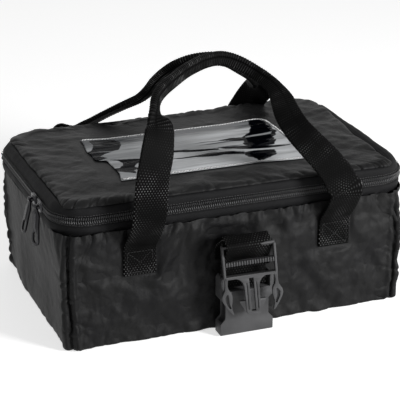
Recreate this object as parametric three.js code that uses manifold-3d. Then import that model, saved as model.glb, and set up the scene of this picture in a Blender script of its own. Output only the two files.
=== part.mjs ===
// Insulated food bag in millimetres, +Z up, front towards -Y, origin at the middle of its base.
import * as THREE from "three";
import { mergeVertices } from "three/addons/utils/BufferGeometryUtils.js";
import Module from "manifold-3d";

const wasm = await Module();
wasm.setup();

// Driving dimensions of the bag
const baseWidth = 280;
const zipWidth = 298;
const bagDepth = 185;
const zipHeight = 107.5;
const baseCornerRadius = 14;
const zipCornerRadius = 28;
const lowerEdgeRadius = 6;
const nylonThickness = 1;
const foamThickness = 6;
const liningThickness = 0.6;
const clearance = 0.3;
const cornerSteps = 6;

// Zip: tape, coil and where the zip ends towards the hinge
const tapeWidth = 9.1;
const tapeThickness = 0.5;
const tapeInset = 0.4;
const coilHeight = 1.5;
const coilThickness = 1.8;
const chainGap = 1.2;
const zipEndY = 70;
const zipStopLength = 2.7;

// Lid: thickness of its foam and how far its top is rounded and crowned
const lidFoamThickness = 5;
const lidEdgeRound = 3.4;
const lidCrown = 0.9;
const crownRun = 30;

// Document window on the lid
const windowLeft = -88;
const windowRight = 77;
const windowFront = -56.5;
const windowBack = 47.5;
const windowThickness = 0.4;
const windowCornerRadius = 12;
const notchDepth = 7;
const notchLength = 26;
const notchY = 4;
const hemWidth = 3;
const hemThickness = 0.4;

// Carry handles: 25 mm webbing sewn to the front and back
const handleWebbing = 25;
const gripWidth = 11;
const gripThickness = 4.4;
const webbingThickness = 2;
const handleHalfSpan = 82;
const sewnEndHeight = 22;
const sewnEndTop = 79.3;
const frontStandOff = 21;
const frontHingeZ = 112;
const backHingeZ = 104;
const handleTopZ = 196;

// Zip sliders and their pull tabs
const sliderLength = 12;
const sliderHeight = 9.6;
const sliderPlate = 1.4;
const rearSliderY = -33.5;
const frontSliderY = -50.5;
const postLength = 3;
const bailReach = 2.4;
const bailRadius = 0.8;
const bailHalfGap = 2.3;
const eyeRadius = 2;
const pullLength = 29;
const pullWidth = 8;
const pullThickness = 1.4;
const pullHoleLength = 8;
const pullNeckDrop = 3;
const pullShoulderDrop = 6;
const sliderNoseTaper = 2;
const pullHoleWidth = 3.6;

// Side-release buckle on its webbing
const buckleX = -3;
const buckleWebbing = 38;
const buckleStrapThickness = 1.4;
const foldStandOff = 15;
const foldZ = 82;
const beadRadius = 1.2;
const patchBottomZ = 60;
const patchTopZ = 70;
const railWidth = 2.2;
const maleThickness = 5.5;
const maleTopZ = 81.5;
const maleStandOff = 20;
const maleTilt = 5;
const frameLength = 26;
const barHeight = 3;
const toothedBarDrop = 11;
const toothCount = 13;
const toothDepth = 0.7;
const prongLength = 32;
const armWidth = 3.6;
const guideWidth = 10;
const guideSlotWidth = 3.4;
const femaleWidth = 46;
const femaleThickness = 12;
const femaleBottomZ = 3;
const femaleTopZ = 52;
const femaleStandOff = 6;
const femaleWall = 2;
const mouthRimHeight = 11;
const waistTopZ = 34;
const waistWidth = 38;
const earSlotHeight = 13;
const bladeInset = 0.8;
const toothedBarInset = 1.5;
const finReach = 4;
const finHeight = 9;
const slotEndWall = 3;
const strapStartAngle = 130;
const strapDip = 4;
const strapTailShort = 6;
const strapLift = 2.5;
const patchCurl = 4;

// Heights and faces that the pieces share
const wallY = bagDepth / 2;
const zipHalfX = zipWidth / 2;
const coilLowerTop = zipHeight - chainGap / 2;
const coilUpperBottom = zipHeight + chainGap / 2;
const tapeLowerTop = coilLowerTop - coilHeight - clearance;
const tapeLowerBottom = tapeLowerTop - tapeWidth + clearance;
const panelTop = tapeLowerBottom - clearance;
const tapeUpperBottom = coilUpperBottom + coilHeight + clearance;
const hingeZ = tapeUpperBottom - clearance;
const lidRimZ = tapeUpperBottom + tapeWidth - 2 * clearance - sliderPlate;
const foamTop = panelTop + 2;
const liningFloorZ = nylonThickness + clearance + foamThickness + clearance;
const lidTopZ = lidRimZ + lidEdgeRound;
const crownZ = lidTopZ + lidCrown;
const liningInset = nylonThickness + foamThickness + 2 * clearance;

const group = new THREE.Group();
const finishes = {
  nylon: { color: 0x323233, roughness: 0.62, metalness: 0 },
  webbing: { color: 0x161616, roughness: 0.85, metalness: 0 },
  foam: { color: 0xe6e6e2, roughness: 0.9, metalness: 0 },
  lining: { color: 0xb9bcc0, roughness: 0.35, metalness: 0.6 },
  tape: { color: 0x1d1e20, roughness: 0.85, metalness: 0 },
  coil: { color: 0x2b2b2c, roughness: 0.5, metalness: 0 },
  slider: { color: 0x0c0c0d, roughness: 0.2, metalness: 0.4 },
  window: { color: 0xb8bcc2, roughness: 0.12, metalness: 0 },
  hem: { color: 0xc9c9c9, roughness: 0.8, metalness: 0 },
  buckle: { color: 0x444444, roughness: 0.45, metalness: 0 },
};

// Solids, booleans and lofts
function toSolid(geometry) {
  const bare = geometry.clone();
  bare.deleteAttribute("normal");
  bare.deleteAttribute("uv");
  const merged = mergeVertices(bare, 1e-4);
  return new wasm.Manifold(
    new wasm.Mesh({
      numProp: 3,
      vertProperties: new Float32Array(merged.attributes.position.array),
      triVerts: new Uint32Array(merged.index.array),
    }),
  );
}

function toGeometry(solid) {
  const mesh = solid.getMesh();
  const geometry = new THREE.BufferGeometry();
  geometry.setAttribute("position", new THREE.BufferAttribute(mesh.vertProperties, 3));
  geometry.setIndex(new THREE.BufferAttribute(mesh.triVerts, 1));
  return geometry;
}

function add(name, finish, solid, parent = group) {
  const geometry = toGeometry(solid).toNonIndexed();
  geometry.computeVertexNormals();
  const mesh = new THREE.Mesh(geometry, new THREE.MeshStandardMaterial(finishes[finish]));
  mesh.name = name;
  parent.add(mesh);
  return mesh;
}

function union(solids) {
  return solids.reduce((sum, solid) => sum.add(solid));
}

function loft(rings) {
  const count = rings[0].length;
  const vertices = rings.flat();
  const faces = [];
  for (let level = 0; level + 1 < rings.length; level++) {
    for (let side = 0; side < count; side++) {
      const next = (side + 1) % count;
      const a = level * count + side;
      const b = level * count + next;
      faces.push(a, b, b + count, a, b + count, a + count);
    }
  }
  for (const [level, turned] of [[0, true], [rings.length - 1, false]]) {
    const ring = rings[level];
    const middle = [0, 1, 2].map((axis) => ring.reduce((sum, p) => sum + p[axis], 0) / count);
    const hub = vertices.push(middle) - 1;
    for (let side = 0; side < count; side++) {
      const a = level * count + side;
      const b = level * count + ((side + 1) % count);
      faces.push(hub, turned ? b : a, turned ? a : b);
    }
  }
  const geometry = new THREE.BufferGeometry();
  geometry.setAttribute("position", new THREE.Float32BufferAttribute(vertices.flat(), 3));
  geometry.setIndex(faces);
  return toSolid(geometry);
}

function box(x0, x1, y0, y1, z0, z1) {
  const geometry = new THREE.BoxGeometry(x1 - x0, y1 - y0, z1 - z0);
  geometry.translate((x0 + x1) / 2, (y0 + y1) / 2, (z0 + z1) / 2);
  return toSolid(geometry);
}

// A shape drawn in x and z, given a thickness from y0 to y1
function plateXZ(shape, y0, y1) {
  const geometry = new THREE.ExtrudeGeometry(shape, {
    depth: y1 - y0,
    bevelEnabled: false,
    curveSegments: 6,
  });
  geometry.rotateX(Math.PI / 2);
  geometry.translate(0, y1, 0);
  return toSolid(geometry);
}

// A shape drawn in x and y, given a thickness from z0 up
function plateXY(shape, z0, thickness) {
  const geometry = new THREE.ExtrudeGeometry(shape, {
    depth: thickness,
    bevelEnabled: false,
    curveSegments: 6,
  });
  geometry.translate(0, 0, z0);
  return toSolid(geometry);
}

function rodAlongX(x0, x1, y, z, radius) {
  const geometry = new THREE.CylinderGeometry(radius, radius, x1 - x0, 16);
  geometry.rotateZ(Math.PI / 2);
  geometry.translate((x0 + x1) / 2, y, z);
  return toSolid(geometry);
}

function rodAlongY(y0, y1, x, z, radius) {
  const geometry = new THREE.CylinderGeometry(radius, radius, y1 - y0, 16);
  geometry.translate(x, (y0 + y1) / 2, z);
  return toSolid(geometry);
}

// Plan of the bag at a height: half sizes and corner radius, with the rounded lower edge
function planAt(z) {
  const rise = Math.min(z / zipHeight, 1);
  const below = Math.max(lowerEdgeRadius - z, 0);
  const inset = lowerEdgeRadius - Math.sqrt(lowerEdgeRadius ** 2 - below ** 2);
  return {
    x: baseWidth / 2 + ((zipWidth - baseWidth) / 2) * rise - inset,
    y: wallY - inset,
    radius: baseCornerRadius + (zipCornerRadius - baseCornerRadius) * rise,
  };
}

function planRing(z, offset) {
  const plan = planAt(z);
  const radius = Math.max(plan.radius + offset, 2);
  const points = [];
  for (let corner = 0; corner < 4; corner++) {
    const signX = corner === 0 || corner === 3 ? 1 : -1;
    const signY = corner < 2 ? 1 : -1;
    for (let step = 0; step <= cornerSteps; step++) {
      const angle = (corner + step / cornerSteps) * (Math.PI / 2);
      points.push([
        signX * (plan.x + offset - radius) + radius * Math.cos(angle),
        signY * (plan.y + offset - radius) + radius * Math.sin(angle),
        z,
      ]);
    }
  }
  return points;
}

function planLoft(z0, z1, offset) {
  const shares = [0, 0.2, 0.45, 0.7];
  const bends = shares.map((share) => share * lowerEdgeRadius).concat(lowerEdgeRadius);
  const levels = [z0, ...bends.filter((z) => z > z0 + 0.2 && z < z1 - 0.2), z1];
  return loft(levels.map((z) => planRing(z, offset)));
}

// A wall all round, between two offsets from the bag's plan
function planWall(z0, z1, outer, inner) {
  const hollow = loft([planRing(z0, inner), planRing(z1, inner)].map((ring, end) =>
    ring.map(([x, y]) => [x, y, end ? z1 + 1 : z0 - 1]),
  ));
  return planLoft(z0, z1, outer).subtract(hollow);
}

function skinWall(z0, z1) {
  const skin = planLoft(z0, z1, 0);
  const hollow = planLoft(z0, z1, -nylonThickness);
  const reach = zipHalfX + zipCornerRadius;
  const above = box(-reach, reach, -reach, reach, z1 - clearance / 10, z1 + 1);
  const below = box(-reach, reach, -reach, reach, z0 - 1, z0 + clearance / 10);
  return skin.subtract(hollow).subtract(above).subtract(below);
}

// The part of the plan that one wall takes, cut through the corners on the diagonal
function wallSector(side) {
  const reach = zipCornerRadius * 2;
  const shift = clearance * Math.SQRT1_2;
  const rings = [-1, zipHeight].map((z) => {
    const plan = planAt(Math.max(z, lowerEdgeRadius));
    const cx = plan.x - plan.radius;
    const cy = plan.y - plan.radius;
    const alongX = side === "front" || side === "back";
    const sign = side === "front" || side === "left" ? -1 : 1;
    const near = alongX ? [cx, cy + shift] : [cx + shift, cy];
    const far = [near[0] + reach, near[1] + reach];
    const corners = alongX
      ? [[-near[0], near[1]], [near[0], near[1]], [far[0], far[1]], [-far[0], far[1]]]
      : [[near[0], near[1]], [near[0], -near[1]], [far[0], -far[1]], [far[0], far[1]]];
    const placed = corners.map(([x, y]) => (alongX ? [x, sign * y, z] : [sign * x, y, z]));
    return sign < 0 ? placed.reverse() : placed;
  });
  return loft(rings);
}

// Body panels of coated nylon
const panelBottom = clearance;
const skin = skinWall(panelBottom, panelTop);
for (const side of ["front", "back", "left", "right"]) {
  add(side + "_panel", "nylon", skin.intersect(wallSector(side)));
}
const basePlan = planRing(panelBottom, -nylonThickness - clearance);
add("base_panel", "nylon", loft([0, nylonThickness].map((z) => basePlan.map(([x, y]) => [x, y, z]))));

// Foam boards inside the panels
const foamOuter = -(nylonThickness + clearance);
const foamInner = foamOuter - foamThickness;
const foamBaseZ = nylonThickness + clearance;
add("foam_base", "foam", planLoft(foamBaseZ, foamBaseZ + foamThickness, foamOuter));

function foamBoard(side) {
  const rings = [liningFloorZ, foamTop].map((z) => {
    const plan = planAt(z);
    const alongX = side === "front" || side === "back";
    const sign = side === "front" || side === "left" ? -1 : 1;
    const run = (alongX ? plan.x : plan.y) - plan.radius;
    const outer = (alongX ? plan.y : plan.x) + foamOuter;
    const inner = (alongX ? plan.y : plan.x) + foamInner;
    const [low, high] = sign < 0 ? [-outer, -inner] : [inner, outer];
    return alongX
      ? [[-run, low, z], [run, low, z], [run, high, z], [-run, high, z]]
      : [[low, -run, z], [high, -run, z], [high, run, z], [low, run, z]];
  });
  return loft(rings);
}
for (const side of ["front", "back", "left", "right"]) {
  add("foam_" + side, "foam", foamBoard(side));
}

// Foil lining: a tub with a flange over the foam's top edge
const flangeZ = foamTop + clearance;
const tub = planLoft(liningFloorZ, flangeZ + liningThickness, -liningInset);
const tubHollow = planLoft(
  liningFloorZ + liningThickness,
  flangeZ + liningThickness + 1,
  -liningInset - liningThickness,
);
const flange = planWall(flangeZ, flangeZ + liningThickness, foamOuter, -liningInset - liningThickness);
add("liner_tub", "lining", tub.subtract(tubHollow).add(flange));

// Zip tapes and coils round the left, front and right, and the fabric hinge at the back
const farOut = zipWidth;
const zipRegion = box(-farOut, farOut, -farOut, zipEndY, 0, 2 * zipHeight);
const hingeRegion = box(-farOut, farOut, zipEndY + clearance, farOut, 0, 2 * zipHeight);

function tapeBand(z0, z1, region) {
  return planWall(z0, z1, -tapeInset, -tapeInset - tapeThickness).intersect(region);
}

function coilBand(z0) {
  const outer = coilThickness / 2 - tapeInset - tapeThickness / 2;
  return planWall(z0, z0 + coilHeight, outer, outer - coilThickness).intersect(zipRegion);
}
const lid = new THREE.Group();
group.add(lid);
add("zip_tape_lower", "tape", tapeBand(tapeLowerBottom, tapeLowerTop, zipRegion));
add("zip_coil_lower", "coil", coilBand(coilLowerTop - coilHeight));
add("hinge_gusset_lower", "nylon", tapeBand(tapeLowerBottom, hingeZ - clearance, hingeRegion));
add("zip_tape_upper", "tape", tapeBand(tapeUpperBottom, lidRimZ - clearance, zipRegion), lid);
add("zip_coil_upper", "coil", coilBand(coilUpperBottom), lid);
add("hinge_gusset_upper", "nylon", tapeBand(tapeUpperBottom, lidRimZ - clearance, hingeRegion), lid);

// Stops at the two ends of the zip, pinched over the ends of the coils
const stopX = zipHalfX - tapeInset + clearance;
for (const [name, sign] of [["zip_stop_left", -1], ["zip_stop_right", 1]]) {
  const near = sign * stopX;
  const far = sign * (stopX + coilThickness);
  const stopY = Math.min(zipEndY + clearance, wallY - zipCornerRadius - zipStopLength);
  const z0 = coilLowerTop - coilHeight - zipStopLength;
  const z1 = z0 + zipStopLength - clearance;
  const block = box(Math.min(near, far), Math.max(near, far), stopY, stopY + zipStopLength, z0, z1);
  add(name, "slider", block);
}

// Lid: nylon top with a rounded rim, foam board and foil lining
function lidLoft(rings) {
  return loft(rings.map(([z, offset]) => planRing(z, offset)));
}
// Rounded rim as shares of its height going up and inwards
const rimSteps = [[0, 0], [0.35, 0.06], [0.68, 0.36], [0.88, 0.94], [1, 2.35]];
const lidSkinRings = rimSteps.map(([up, inward]) => [
  lidRimZ + up * lidEdgeRound,
  -inward * lidEdgeRound,
]);
lidSkinRings.push([crownZ, -crownRun]);
const lidHollowRings = lidSkinRings.map(([z, offset], step) => [
  step === 0 ? lidRimZ - 1 : z - nylonThickness,
  offset - nylonThickness * (step < 3 ? 1 : 0.6),
]);
add("lid_panel", "nylon", lidLoft(lidSkinRings).subtract(lidLoft(lidHollowRings)), lid);

const lidFoamTop = lidTopZ - nylonThickness - clearance;
const lidFoamBottom = lidFoamTop - lidFoamThickness;
const foamRim = -(nylonThickness + lidEdgeRound);
add(
  "lid_foam",
  "foam",
  lidLoft([
    [lidFoamBottom, foamRim],
    [lidFoamTop - lidCrown, foamRim],
    [lidFoamTop, foamRim - lidEdgeRound * 1.5],
    [lidFoamTop + lidCrown - clearance / 2, -crownRun - nylonThickness],
  ]),
  lid,
);
const lidLiningTop = lidFoamBottom - clearance;
const lidLiningInset = -(tapeInset + tapeThickness + clearance + sliderPlate + clearance);
add(
  "lid_lining",
  "lining",
  lidLoft([
    [lidLiningTop - liningThickness, lidLiningInset],
    [lidLiningTop, lidLiningInset],
  ]),
  lid,
);

// Clear document window, stitched along its back, right and front, with a thumb notch on the left
const windowZ = crownZ + clearance;
const windowBendX = windowRight - windowCornerRadius;
const windowBendY = windowBack - windowCornerRadius;
const windowShape = new THREE.Shape();
windowShape.moveTo(windowLeft, windowBack);
windowShape.lineTo(windowLeft, notchY + notchLength / 2);
windowShape.lineTo(windowLeft + notchDepth, notchY);
windowShape.lineTo(windowLeft, notchY - notchLength / 2);
windowShape.lineTo(windowLeft, windowFront);
windowShape.lineTo(windowRight, windowFront);
windowShape.lineTo(windowRight, windowBendY);
windowShape.absarc(windowBendX, windowBendY, windowCornerRadius, 0, Math.PI / 2, false);
windowShape.closePath();
add("document_window", "window", plateXY(windowShape, windowZ, windowThickness), lid);

const hemZ = windowZ + windowThickness + clearance;
const hemBendRadius = windowCornerRadius - hemWidth;
const hemShape = new THREE.Shape();
hemShape.moveTo(windowLeft, windowBack);
hemShape.lineTo(windowLeft, windowBack - hemWidth);
hemShape.lineTo(windowBendX, windowBack - hemWidth);
hemShape.absarc(windowBendX, windowBendY, hemBendRadius, Math.PI / 2, 0, true);
hemShape.lineTo(windowRight - hemWidth, windowFront + hemWidth);
hemShape.lineTo(windowLeft, windowFront + hemWidth);
hemShape.lineTo(windowLeft, windowFront);
hemShape.lineTo(windowRight, windowFront);
hemShape.lineTo(windowRight, windowBendY);
hemShape.absarc(windowBendX, windowBendY, windowCornerRadius, 0, Math.PI / 2, false);
hemShape.closePath();
add("window_hem", "hem", plateXY(hemShape, hemZ, hemThickness), lid);

// Webbing along a list of stations, each with a place, the way its flat side faces, width and thickness
function webbing(stations, steps = 2) {
  const place = new THREE.CatmullRomCurve3(stations.map((s) => new THREE.Vector3(...s.at)));
  const count = (stations.length - 1) * steps;
  const rings = [];
  for (let step = 0; step <= count; step++) {
    const share = step / count;
    const from = Math.min(Math.floor(step / steps), stations.length - 2);
    const blend = step / steps - from;
    const a = stations[from];
    const b = stations[from + 1];
    const at = place.getPoint(share);
    const tangent = place.getTangent(share);
    if (step === 0 && a.leave) tangent.set(...a.leave);
    if (step === count && b.leave) tangent.set(...b.leave);
    const facing = new THREE.Vector3(...a.facing).lerp(new THREE.Vector3(...b.facing), blend);
    facing.addScaledVector(tangent, -facing.dot(tangent)).normalize();
    const across = facing.clone().cross(tangent).normalize();
    const halfWidth = THREE.MathUtils.lerp(a.width, b.width, blend) / 2;
    const halfThick = THREE.MathUtils.lerp(a.thick, b.thick, blend) / 2;
    const chamfer = halfThick * 0.6;
    const corners = [
      [halfWidth, halfThick - chamfer],
      [halfWidth - chamfer, halfThick],
      [chamfer - halfWidth, halfThick],
      [-halfWidth, halfThick - chamfer],
      [-halfWidth, chamfer - halfThick],
      [chamfer - halfWidth, -halfThick],
      [halfWidth - chamfer, -halfThick],
      [halfWidth, chamfer - halfThick],
    ];
    rings.push(corners.map(([u, v]) => {
      const p = at.clone().addScaledVector(across, u).addScaledVector(facing, v);
      return [p.x, p.y, p.z];
    }));
  }
  return loft(rings);
}

// One handle: sewn ends, two lower legs and a loop, each list of stations chosen by eye
const sewnFace = wallY + clearance + webbingThickness;
const legBottomZ = sewnEndTop + clearance;
const standOffY = wallY + frontStandOff;

function sewnEnd(name, x, sign) {
  const near = sign * (wallY + clearance);
  const far = sign * sewnFace;
  const half = handleWebbing / 2;
  add(name, "webbing", box(
    x - half, x + half, Math.min(near, far), Math.max(near, far), sewnEndTop - sewnEndHeight, sewnEndTop,
  ));
}

function lowerLeg(name, x, sign, hingeHeight) {
  const start = sewnFace - webbingThickness / 2;
  const rise = hingeHeight - clearance - legBottomZ;
  const bow = [[0, 0], [0.28, 0.3], [0.58, 0.76], [0.82, 0.96], [1, 1]];
  const stations = bow.map(([up, out]) => ({
    at: [x, sign * (start + out * (standOffY - start)), legBottomZ + up * rise],
    facing: [0, 1, 0],
    width: handleWebbing,
    thick: webbingThickness,
  }));
  stations[0].leave = [0, 0, 1];
  stations[stations.length - 1].leave = [0, 0, 1];
  add(name, "webbing", webbing(stations));
}

// Stations of a loop: x in shares of the half span, y in shares of the wall plus a stand-off,
// z in shares of the loop's rise, then the way it faces and how far it is folded (0 flat, 1 folded)
function handleLoop(name, sign, hingeHeight, list) {
  const rise = handleTopZ - hingeHeight;
  const stations = list.map(([x, share, off, up, facing, fold]) => ({
    at: [
      x * handleHalfSpan,
      sign * (share * wallY + off * frontStandOff),
      hingeHeight + up * rise,
    ],
    facing,
    width: THREE.MathUtils.lerp(handleWebbing, gripWidth, fold),
    thick: THREE.MathUtils.lerp(webbingThickness, gripThickness, fold),
  }));
  stations[0].leave = [0, 0, 1];
  stations[stations.length - 1].leave = [0, 0, -1];
  add(name, "webbing", webbing(stations));
}
const outward = [0, 1, 0];
const turned = [-0.5, 1, 0];
const handleSides = [["left", -1], ["right", 1]];
for (const [side, signX] of handleSides) {
  const x = signX * handleHalfSpan;
  sewnEnd("handle_end_front_" + side, x, -1);
  sewnEnd("handle_end_back_" + side, x, 1);
  lowerLeg("front_leg_" + side, x, -1, frontHingeZ);
  lowerLeg("back_leg_" + side, x, 1, backHingeZ);
}
handleLoop("front_handle_loop", -1, frontHingeZ, [
  [-1, 1, 1, 0, outward, 0],
  [-0.98, 1, 1.07, 0.23, outward, 0],
  [-0.92, 1, 0.93, 0.54, outward, 0],
  [-0.85, 1, 0.55, 0.72, outward, 0.1],
  [-0.77, 0.91, 0, 0.88, outward, 0.8],
  [-0.54, 0.63, 0, 0.98, outward, 1],
  [-0.24, 0.37, 0, 1.02, outward, 1],
  [0.1, 0.16, 0, 1.01, outward, 1],
  [0.36, 0.16, 0, 0.96, outward, 1],
  [0.5, 0.31, 0, 0.88, outward, 1],
  [0.57, 0.56, 0, 0.81, outward, 0.7],
  [0.56, 0.8, 0, 0.68, turned, 0.1],
  [0.58, 1, 0.05, 0.55, turned, 0],
  [0.68, 1, 0.64, 0.4, turned, 0],
  [0.82, 1, 0.95, 0.22, [-0.25, 1, 0], 0],
  [0.93, 1, 1, 0.13, outward, 0],
  [0.98, 1, 1.01, 0.075, outward, 0],
  [0.997, 1, 1, 0.03, outward, 0],
  [1, 1, 1, 0, outward, 0],
]);
handleLoop("back_handle_loop", 1, backHingeZ, [
  [-1, 1, 1, 0, outward, 0],
  [-0.997, 1, 1, 0.03, outward, 0],
  [-0.98, 1, 0.96, 0.075, outward, 0],
  [-0.91, 1, 0.86, 0.125, [0, 1, 0.35], 0],
  [-0.79, 1, 0.75, 0.155, [0, 0.7, 1], 0.2],
  [-0.63, 1, 0.64, 0.18, [0, 0.4, 1], 0.4],
  [-0.46, 1, 0.26, 0.27, [0, 0.4, 1], 0.7],
  [-0.29, 0.91, 0, 0.4, [0, 0.5, 1], 1],
  [-0.18, 0.66, 0, 0.62, [0, 0.8, 1], 1],
  [-0.06, 0.36, 0, 0.84, [0, 1, 0.6], 1],
  [0.1, 0.1, 0, 0.97, [0, 1, 0.3], 1],
  [0.3, 0.02, 0, 0.97, outward, 1],
  [0.5, 0.08, 0, 0.87, outward, 0.9],
  [0.68, 0.21, 0, 0.73, outward, 0.4],
  [0.83, 0.42, 0, 0.56, outward, 0],
  [0.92, 0.68, 0, 0.4, outward, 0],
  [0.98, 0.97, 0, 0.25, outward, 0],
  [1, 1, 0.7, 0.12, outward, 0],
  [1, 1, 1, 0, outward, 0],
]);

// Zip slider: two plates either side of the chain, a post between the coils and a bail
const coilOuterX = zipHalfX + coilThickness / 2 - tapeInset - tapeThickness / 2;
const outerPlateX = coilOuterX + clearance;
const innerPlateX = coilOuterX - coilThickness - clearance;
const bailX = outerPlateX + sliderPlate + bailReach;

function slider(name, y, mouth) {
  const z0 = zipHeight - sliderHeight / 2;
  const z1 = zipHeight + sliderHeight / 2;
  const y0 = y - sliderLength / 2;
  const y1 = y + sliderLength / 2;
  const taper = new THREE.Shape();
  const narrow = sliderHeight / 3;
  const wideEnd = mouth > 0 ? y1 : y0;
  const noseEnd = mouth > 0 ? y0 : y1;
  taper.moveTo(noseEnd, -narrow);
  taper.lineTo(wideEnd - mouth * sliderNoseTaper, -sliderHeight / 2);
  taper.lineTo(wideEnd, -sliderHeight / 2 + 1);
  taper.lineTo(wideEnd, sliderHeight / 2 - 1);
  taper.lineTo(wideEnd - mouth * sliderNoseTaper, sliderHeight / 2);
  taper.lineTo(noseEnd, narrow);
  taper.closePath();
  const plate = new THREE.ExtrudeGeometry(taper, {
    depth: sliderPlate,
    bevelEnabled: false,
  });
  plate.rotateX(Math.PI / 2);
  plate.rotateZ(Math.PI / 2);
  const outerPlate = plate.clone();
  outerPlate.translate(-outerPlateX - sliderPlate, 0, zipHeight);
  const innerPlate = plate.clone();
  innerPlate.translate(-innerPlateX, 0, zipHeight);
  const postY = mouth > 0 ? [y1 - postLength, y1] : [y0, y0 + postLength];
  const postHalf = chainGap / 2 - clearance;
  const post = box(
    -outerPlateX - sliderPlate / 2, -innerPlateX + sliderPlate / 2,
    postY[0], postY[1], zipHeight - postHalf, zipHeight + postHalf,
  );
  const bailLegs = [-1, 1].map((side) => {
    const inner = y + side * bailHalfGap;
    const outer = y + side * (bailHalfGap + 2 * bailRadius);
    return box(
      -bailX - bailRadius, -outerPlateX - sliderPlate / 2,
      Math.min(inner, outer), Math.max(inner, outer), zipHeight - bailRadius, zipHeight + bailRadius,
    );
  });
  const bar = rodAlongY(
    y - bailHalfGap - bailRadius, y + bailHalfGap + bailRadius, -bailX, zipHeight, bailRadius,
  );
  const solids = [toSolid(outerPlate), toSolid(innerPlate), post, bar, ...bailLegs];
  add(name, "slider", union(solids));
}

// Pull tab: an eye round the bail's bar and a flat bar with an oval hole
function pullTab(name, y) {
  const eyeHalf = bailHalfGap - clearance;
  const eye = rodAlongY(y - eyeHalf, y + eyeHalf, -bailX, zipHeight, eyeRadius);
  const bore = rodAlongY(y - pullWidth, y + pullWidth, -bailX, zipHeight, bailRadius + clearance);
  const half = pullWidth / 2;
  const tab = new THREE.Shape();
  tab.moveTo(y - eyeHalf, 0);
  tab.lineTo(y - eyeHalf, -pullNeckDrop);
  tab.lineTo(y - half, -pullShoulderDrop);
  tab.lineTo(y - half, half - pullLength);
  tab.absarc(y, half - pullLength, half, Math.PI, 2 * Math.PI, false);
  tab.lineTo(y + half, -pullShoulderDrop);
  tab.lineTo(y + eyeHalf, -pullNeckDrop);
  tab.lineTo(y + eyeHalf, 0);
  tab.closePath();
  const hole = new THREE.Path();
  const holeHalf = pullHoleWidth / 2;
  const holeLow = half - pullLength;
  const holeHigh = holeLow + pullHoleLength - pullHoleWidth;
  hole.absarc(y, holeHigh, holeHalf, 0, Math.PI, false);
  hole.absarc(y, holeLow, holeHalf, Math.PI, 2 * Math.PI, false);
  hole.closePath();
  tab.holes.push(hole);
  const geometry = new THREE.ExtrudeGeometry(tab, {
    depth: pullThickness,
    bevelEnabled: false,
    curveSegments: 8,
  });
  geometry.rotateX(Math.PI / 2);
  geometry.rotateZ(Math.PI / 2);
  geometry.translate(-bailX - pullThickness / 2, 0, zipHeight);
  add(name, "slider", toSolid(geometry).add(eye).subtract(bore));
}
slider("slider_rear", rearSliderY, -1);
slider("slider_front", frontSliderY, 1);
pullTab("pull_rear", rearSliderY);
pullTab("pull_front", frontSliderY);

// Buckle webbing is drawn in y and z as a centre line and given its width along x
function strapAcross(points, thick, width = buckleWebbing) {
  const stations = points.map(([y, z]) => ({
    at: [buckleX, y, z],
    facing: [0, 0, 0],
    width,
    thick,
  }));
  for (let i = 0; i < points.length; i++) {
    const before = points[Math.max(i - 1, 0)];
    const after = points[Math.min(i + 1, points.length - 1)];
    const along = new THREE.Vector3(0, after[0] - before[0], after[1] - before[1]).normalize();
    stations[i].facing = [0, -along.z, along.y];
  }
  return webbing(stations);
}

// Points on a circle round the fold's axis; 0 degrees points back, 90 up and 180 forward
const foldY = -(wallY + foldStandOff);
function roundFold(radius, from, to, steps) {
  return Array.from({ length: steps + 1 }, (_, step) => {
    const angle = THREE.MathUtils.degToRad(from + ((to - from) * step) / steps);
    return [foldY + radius * Math.cos(angle), foldZ + radius * Math.sin(angle)];
  });
}

// Anchor patch sewn on the front, its top edge curling out to the fold
const patchY = -(wallY + clearance + buckleStrapThickness / 2);
const bead = rodAlongX(
  buckleX - buckleWebbing / 2, buckleX + buckleWebbing / 2, foldY, foldZ, beadRadius,
);
const patch = strapAcross(
  [
    [patchY, patchBottomZ],
    [patchY, (patchBottomZ + patchTopZ) / 2],
    [patchY - clearance, patchTopZ],
    [patchY - patchCurl, patchTopZ + patchCurl],
    [foldY + beadRadius / 2, foldZ - beadRadius / 2],
  ],
  buckleStrapThickness,
);
add("buckle_anchor", "webbing", patch.add(bead));

// Female half hangs behind on its own strap, mouth down
const femaleBackY = -(wallY + femaleStandOff);
const femaleFrontY = femaleBackY - femaleThickness;
const femaleMidY = (femaleBackY + femaleFrontY) / 2;
const femaleStrapRadius = beadRadius + clearance + buckleStrapThickness / 2;
const earTopSlotZ = femaleTopZ - barHeight;
const femaleStrapEndZ = femaleTopZ - earSlotHeight + 1;
const femaleStrapY = femaleMidY - barHeight / 2 - clearance - buckleStrapThickness / 2;
add("female_strap", "webbing", strapAcross(
  [
    ...roundFold(femaleStrapRadius, strapStartAngle, 180, 3),
    [THREE.MathUtils.lerp(foldY - femaleStrapRadius, femaleStrapY, 0.6), (foldZ + femaleTopZ) / 2],
    [femaleStrapY, femaleTopZ + 1],
    [femaleStrapY, femaleStrapEndZ],
  ],
  buckleStrapThickness,
));

function rectangle(x0, x1, z0, z1) {
  const shape = new THREE.Shape();
  shape.moveTo(x0, z0);
  shape.lineTo(x1, z0);
  shape.lineTo(x1, z1);
  shape.lineTo(x0, z1);
  shape.closePath();
  return shape;
}

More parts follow.
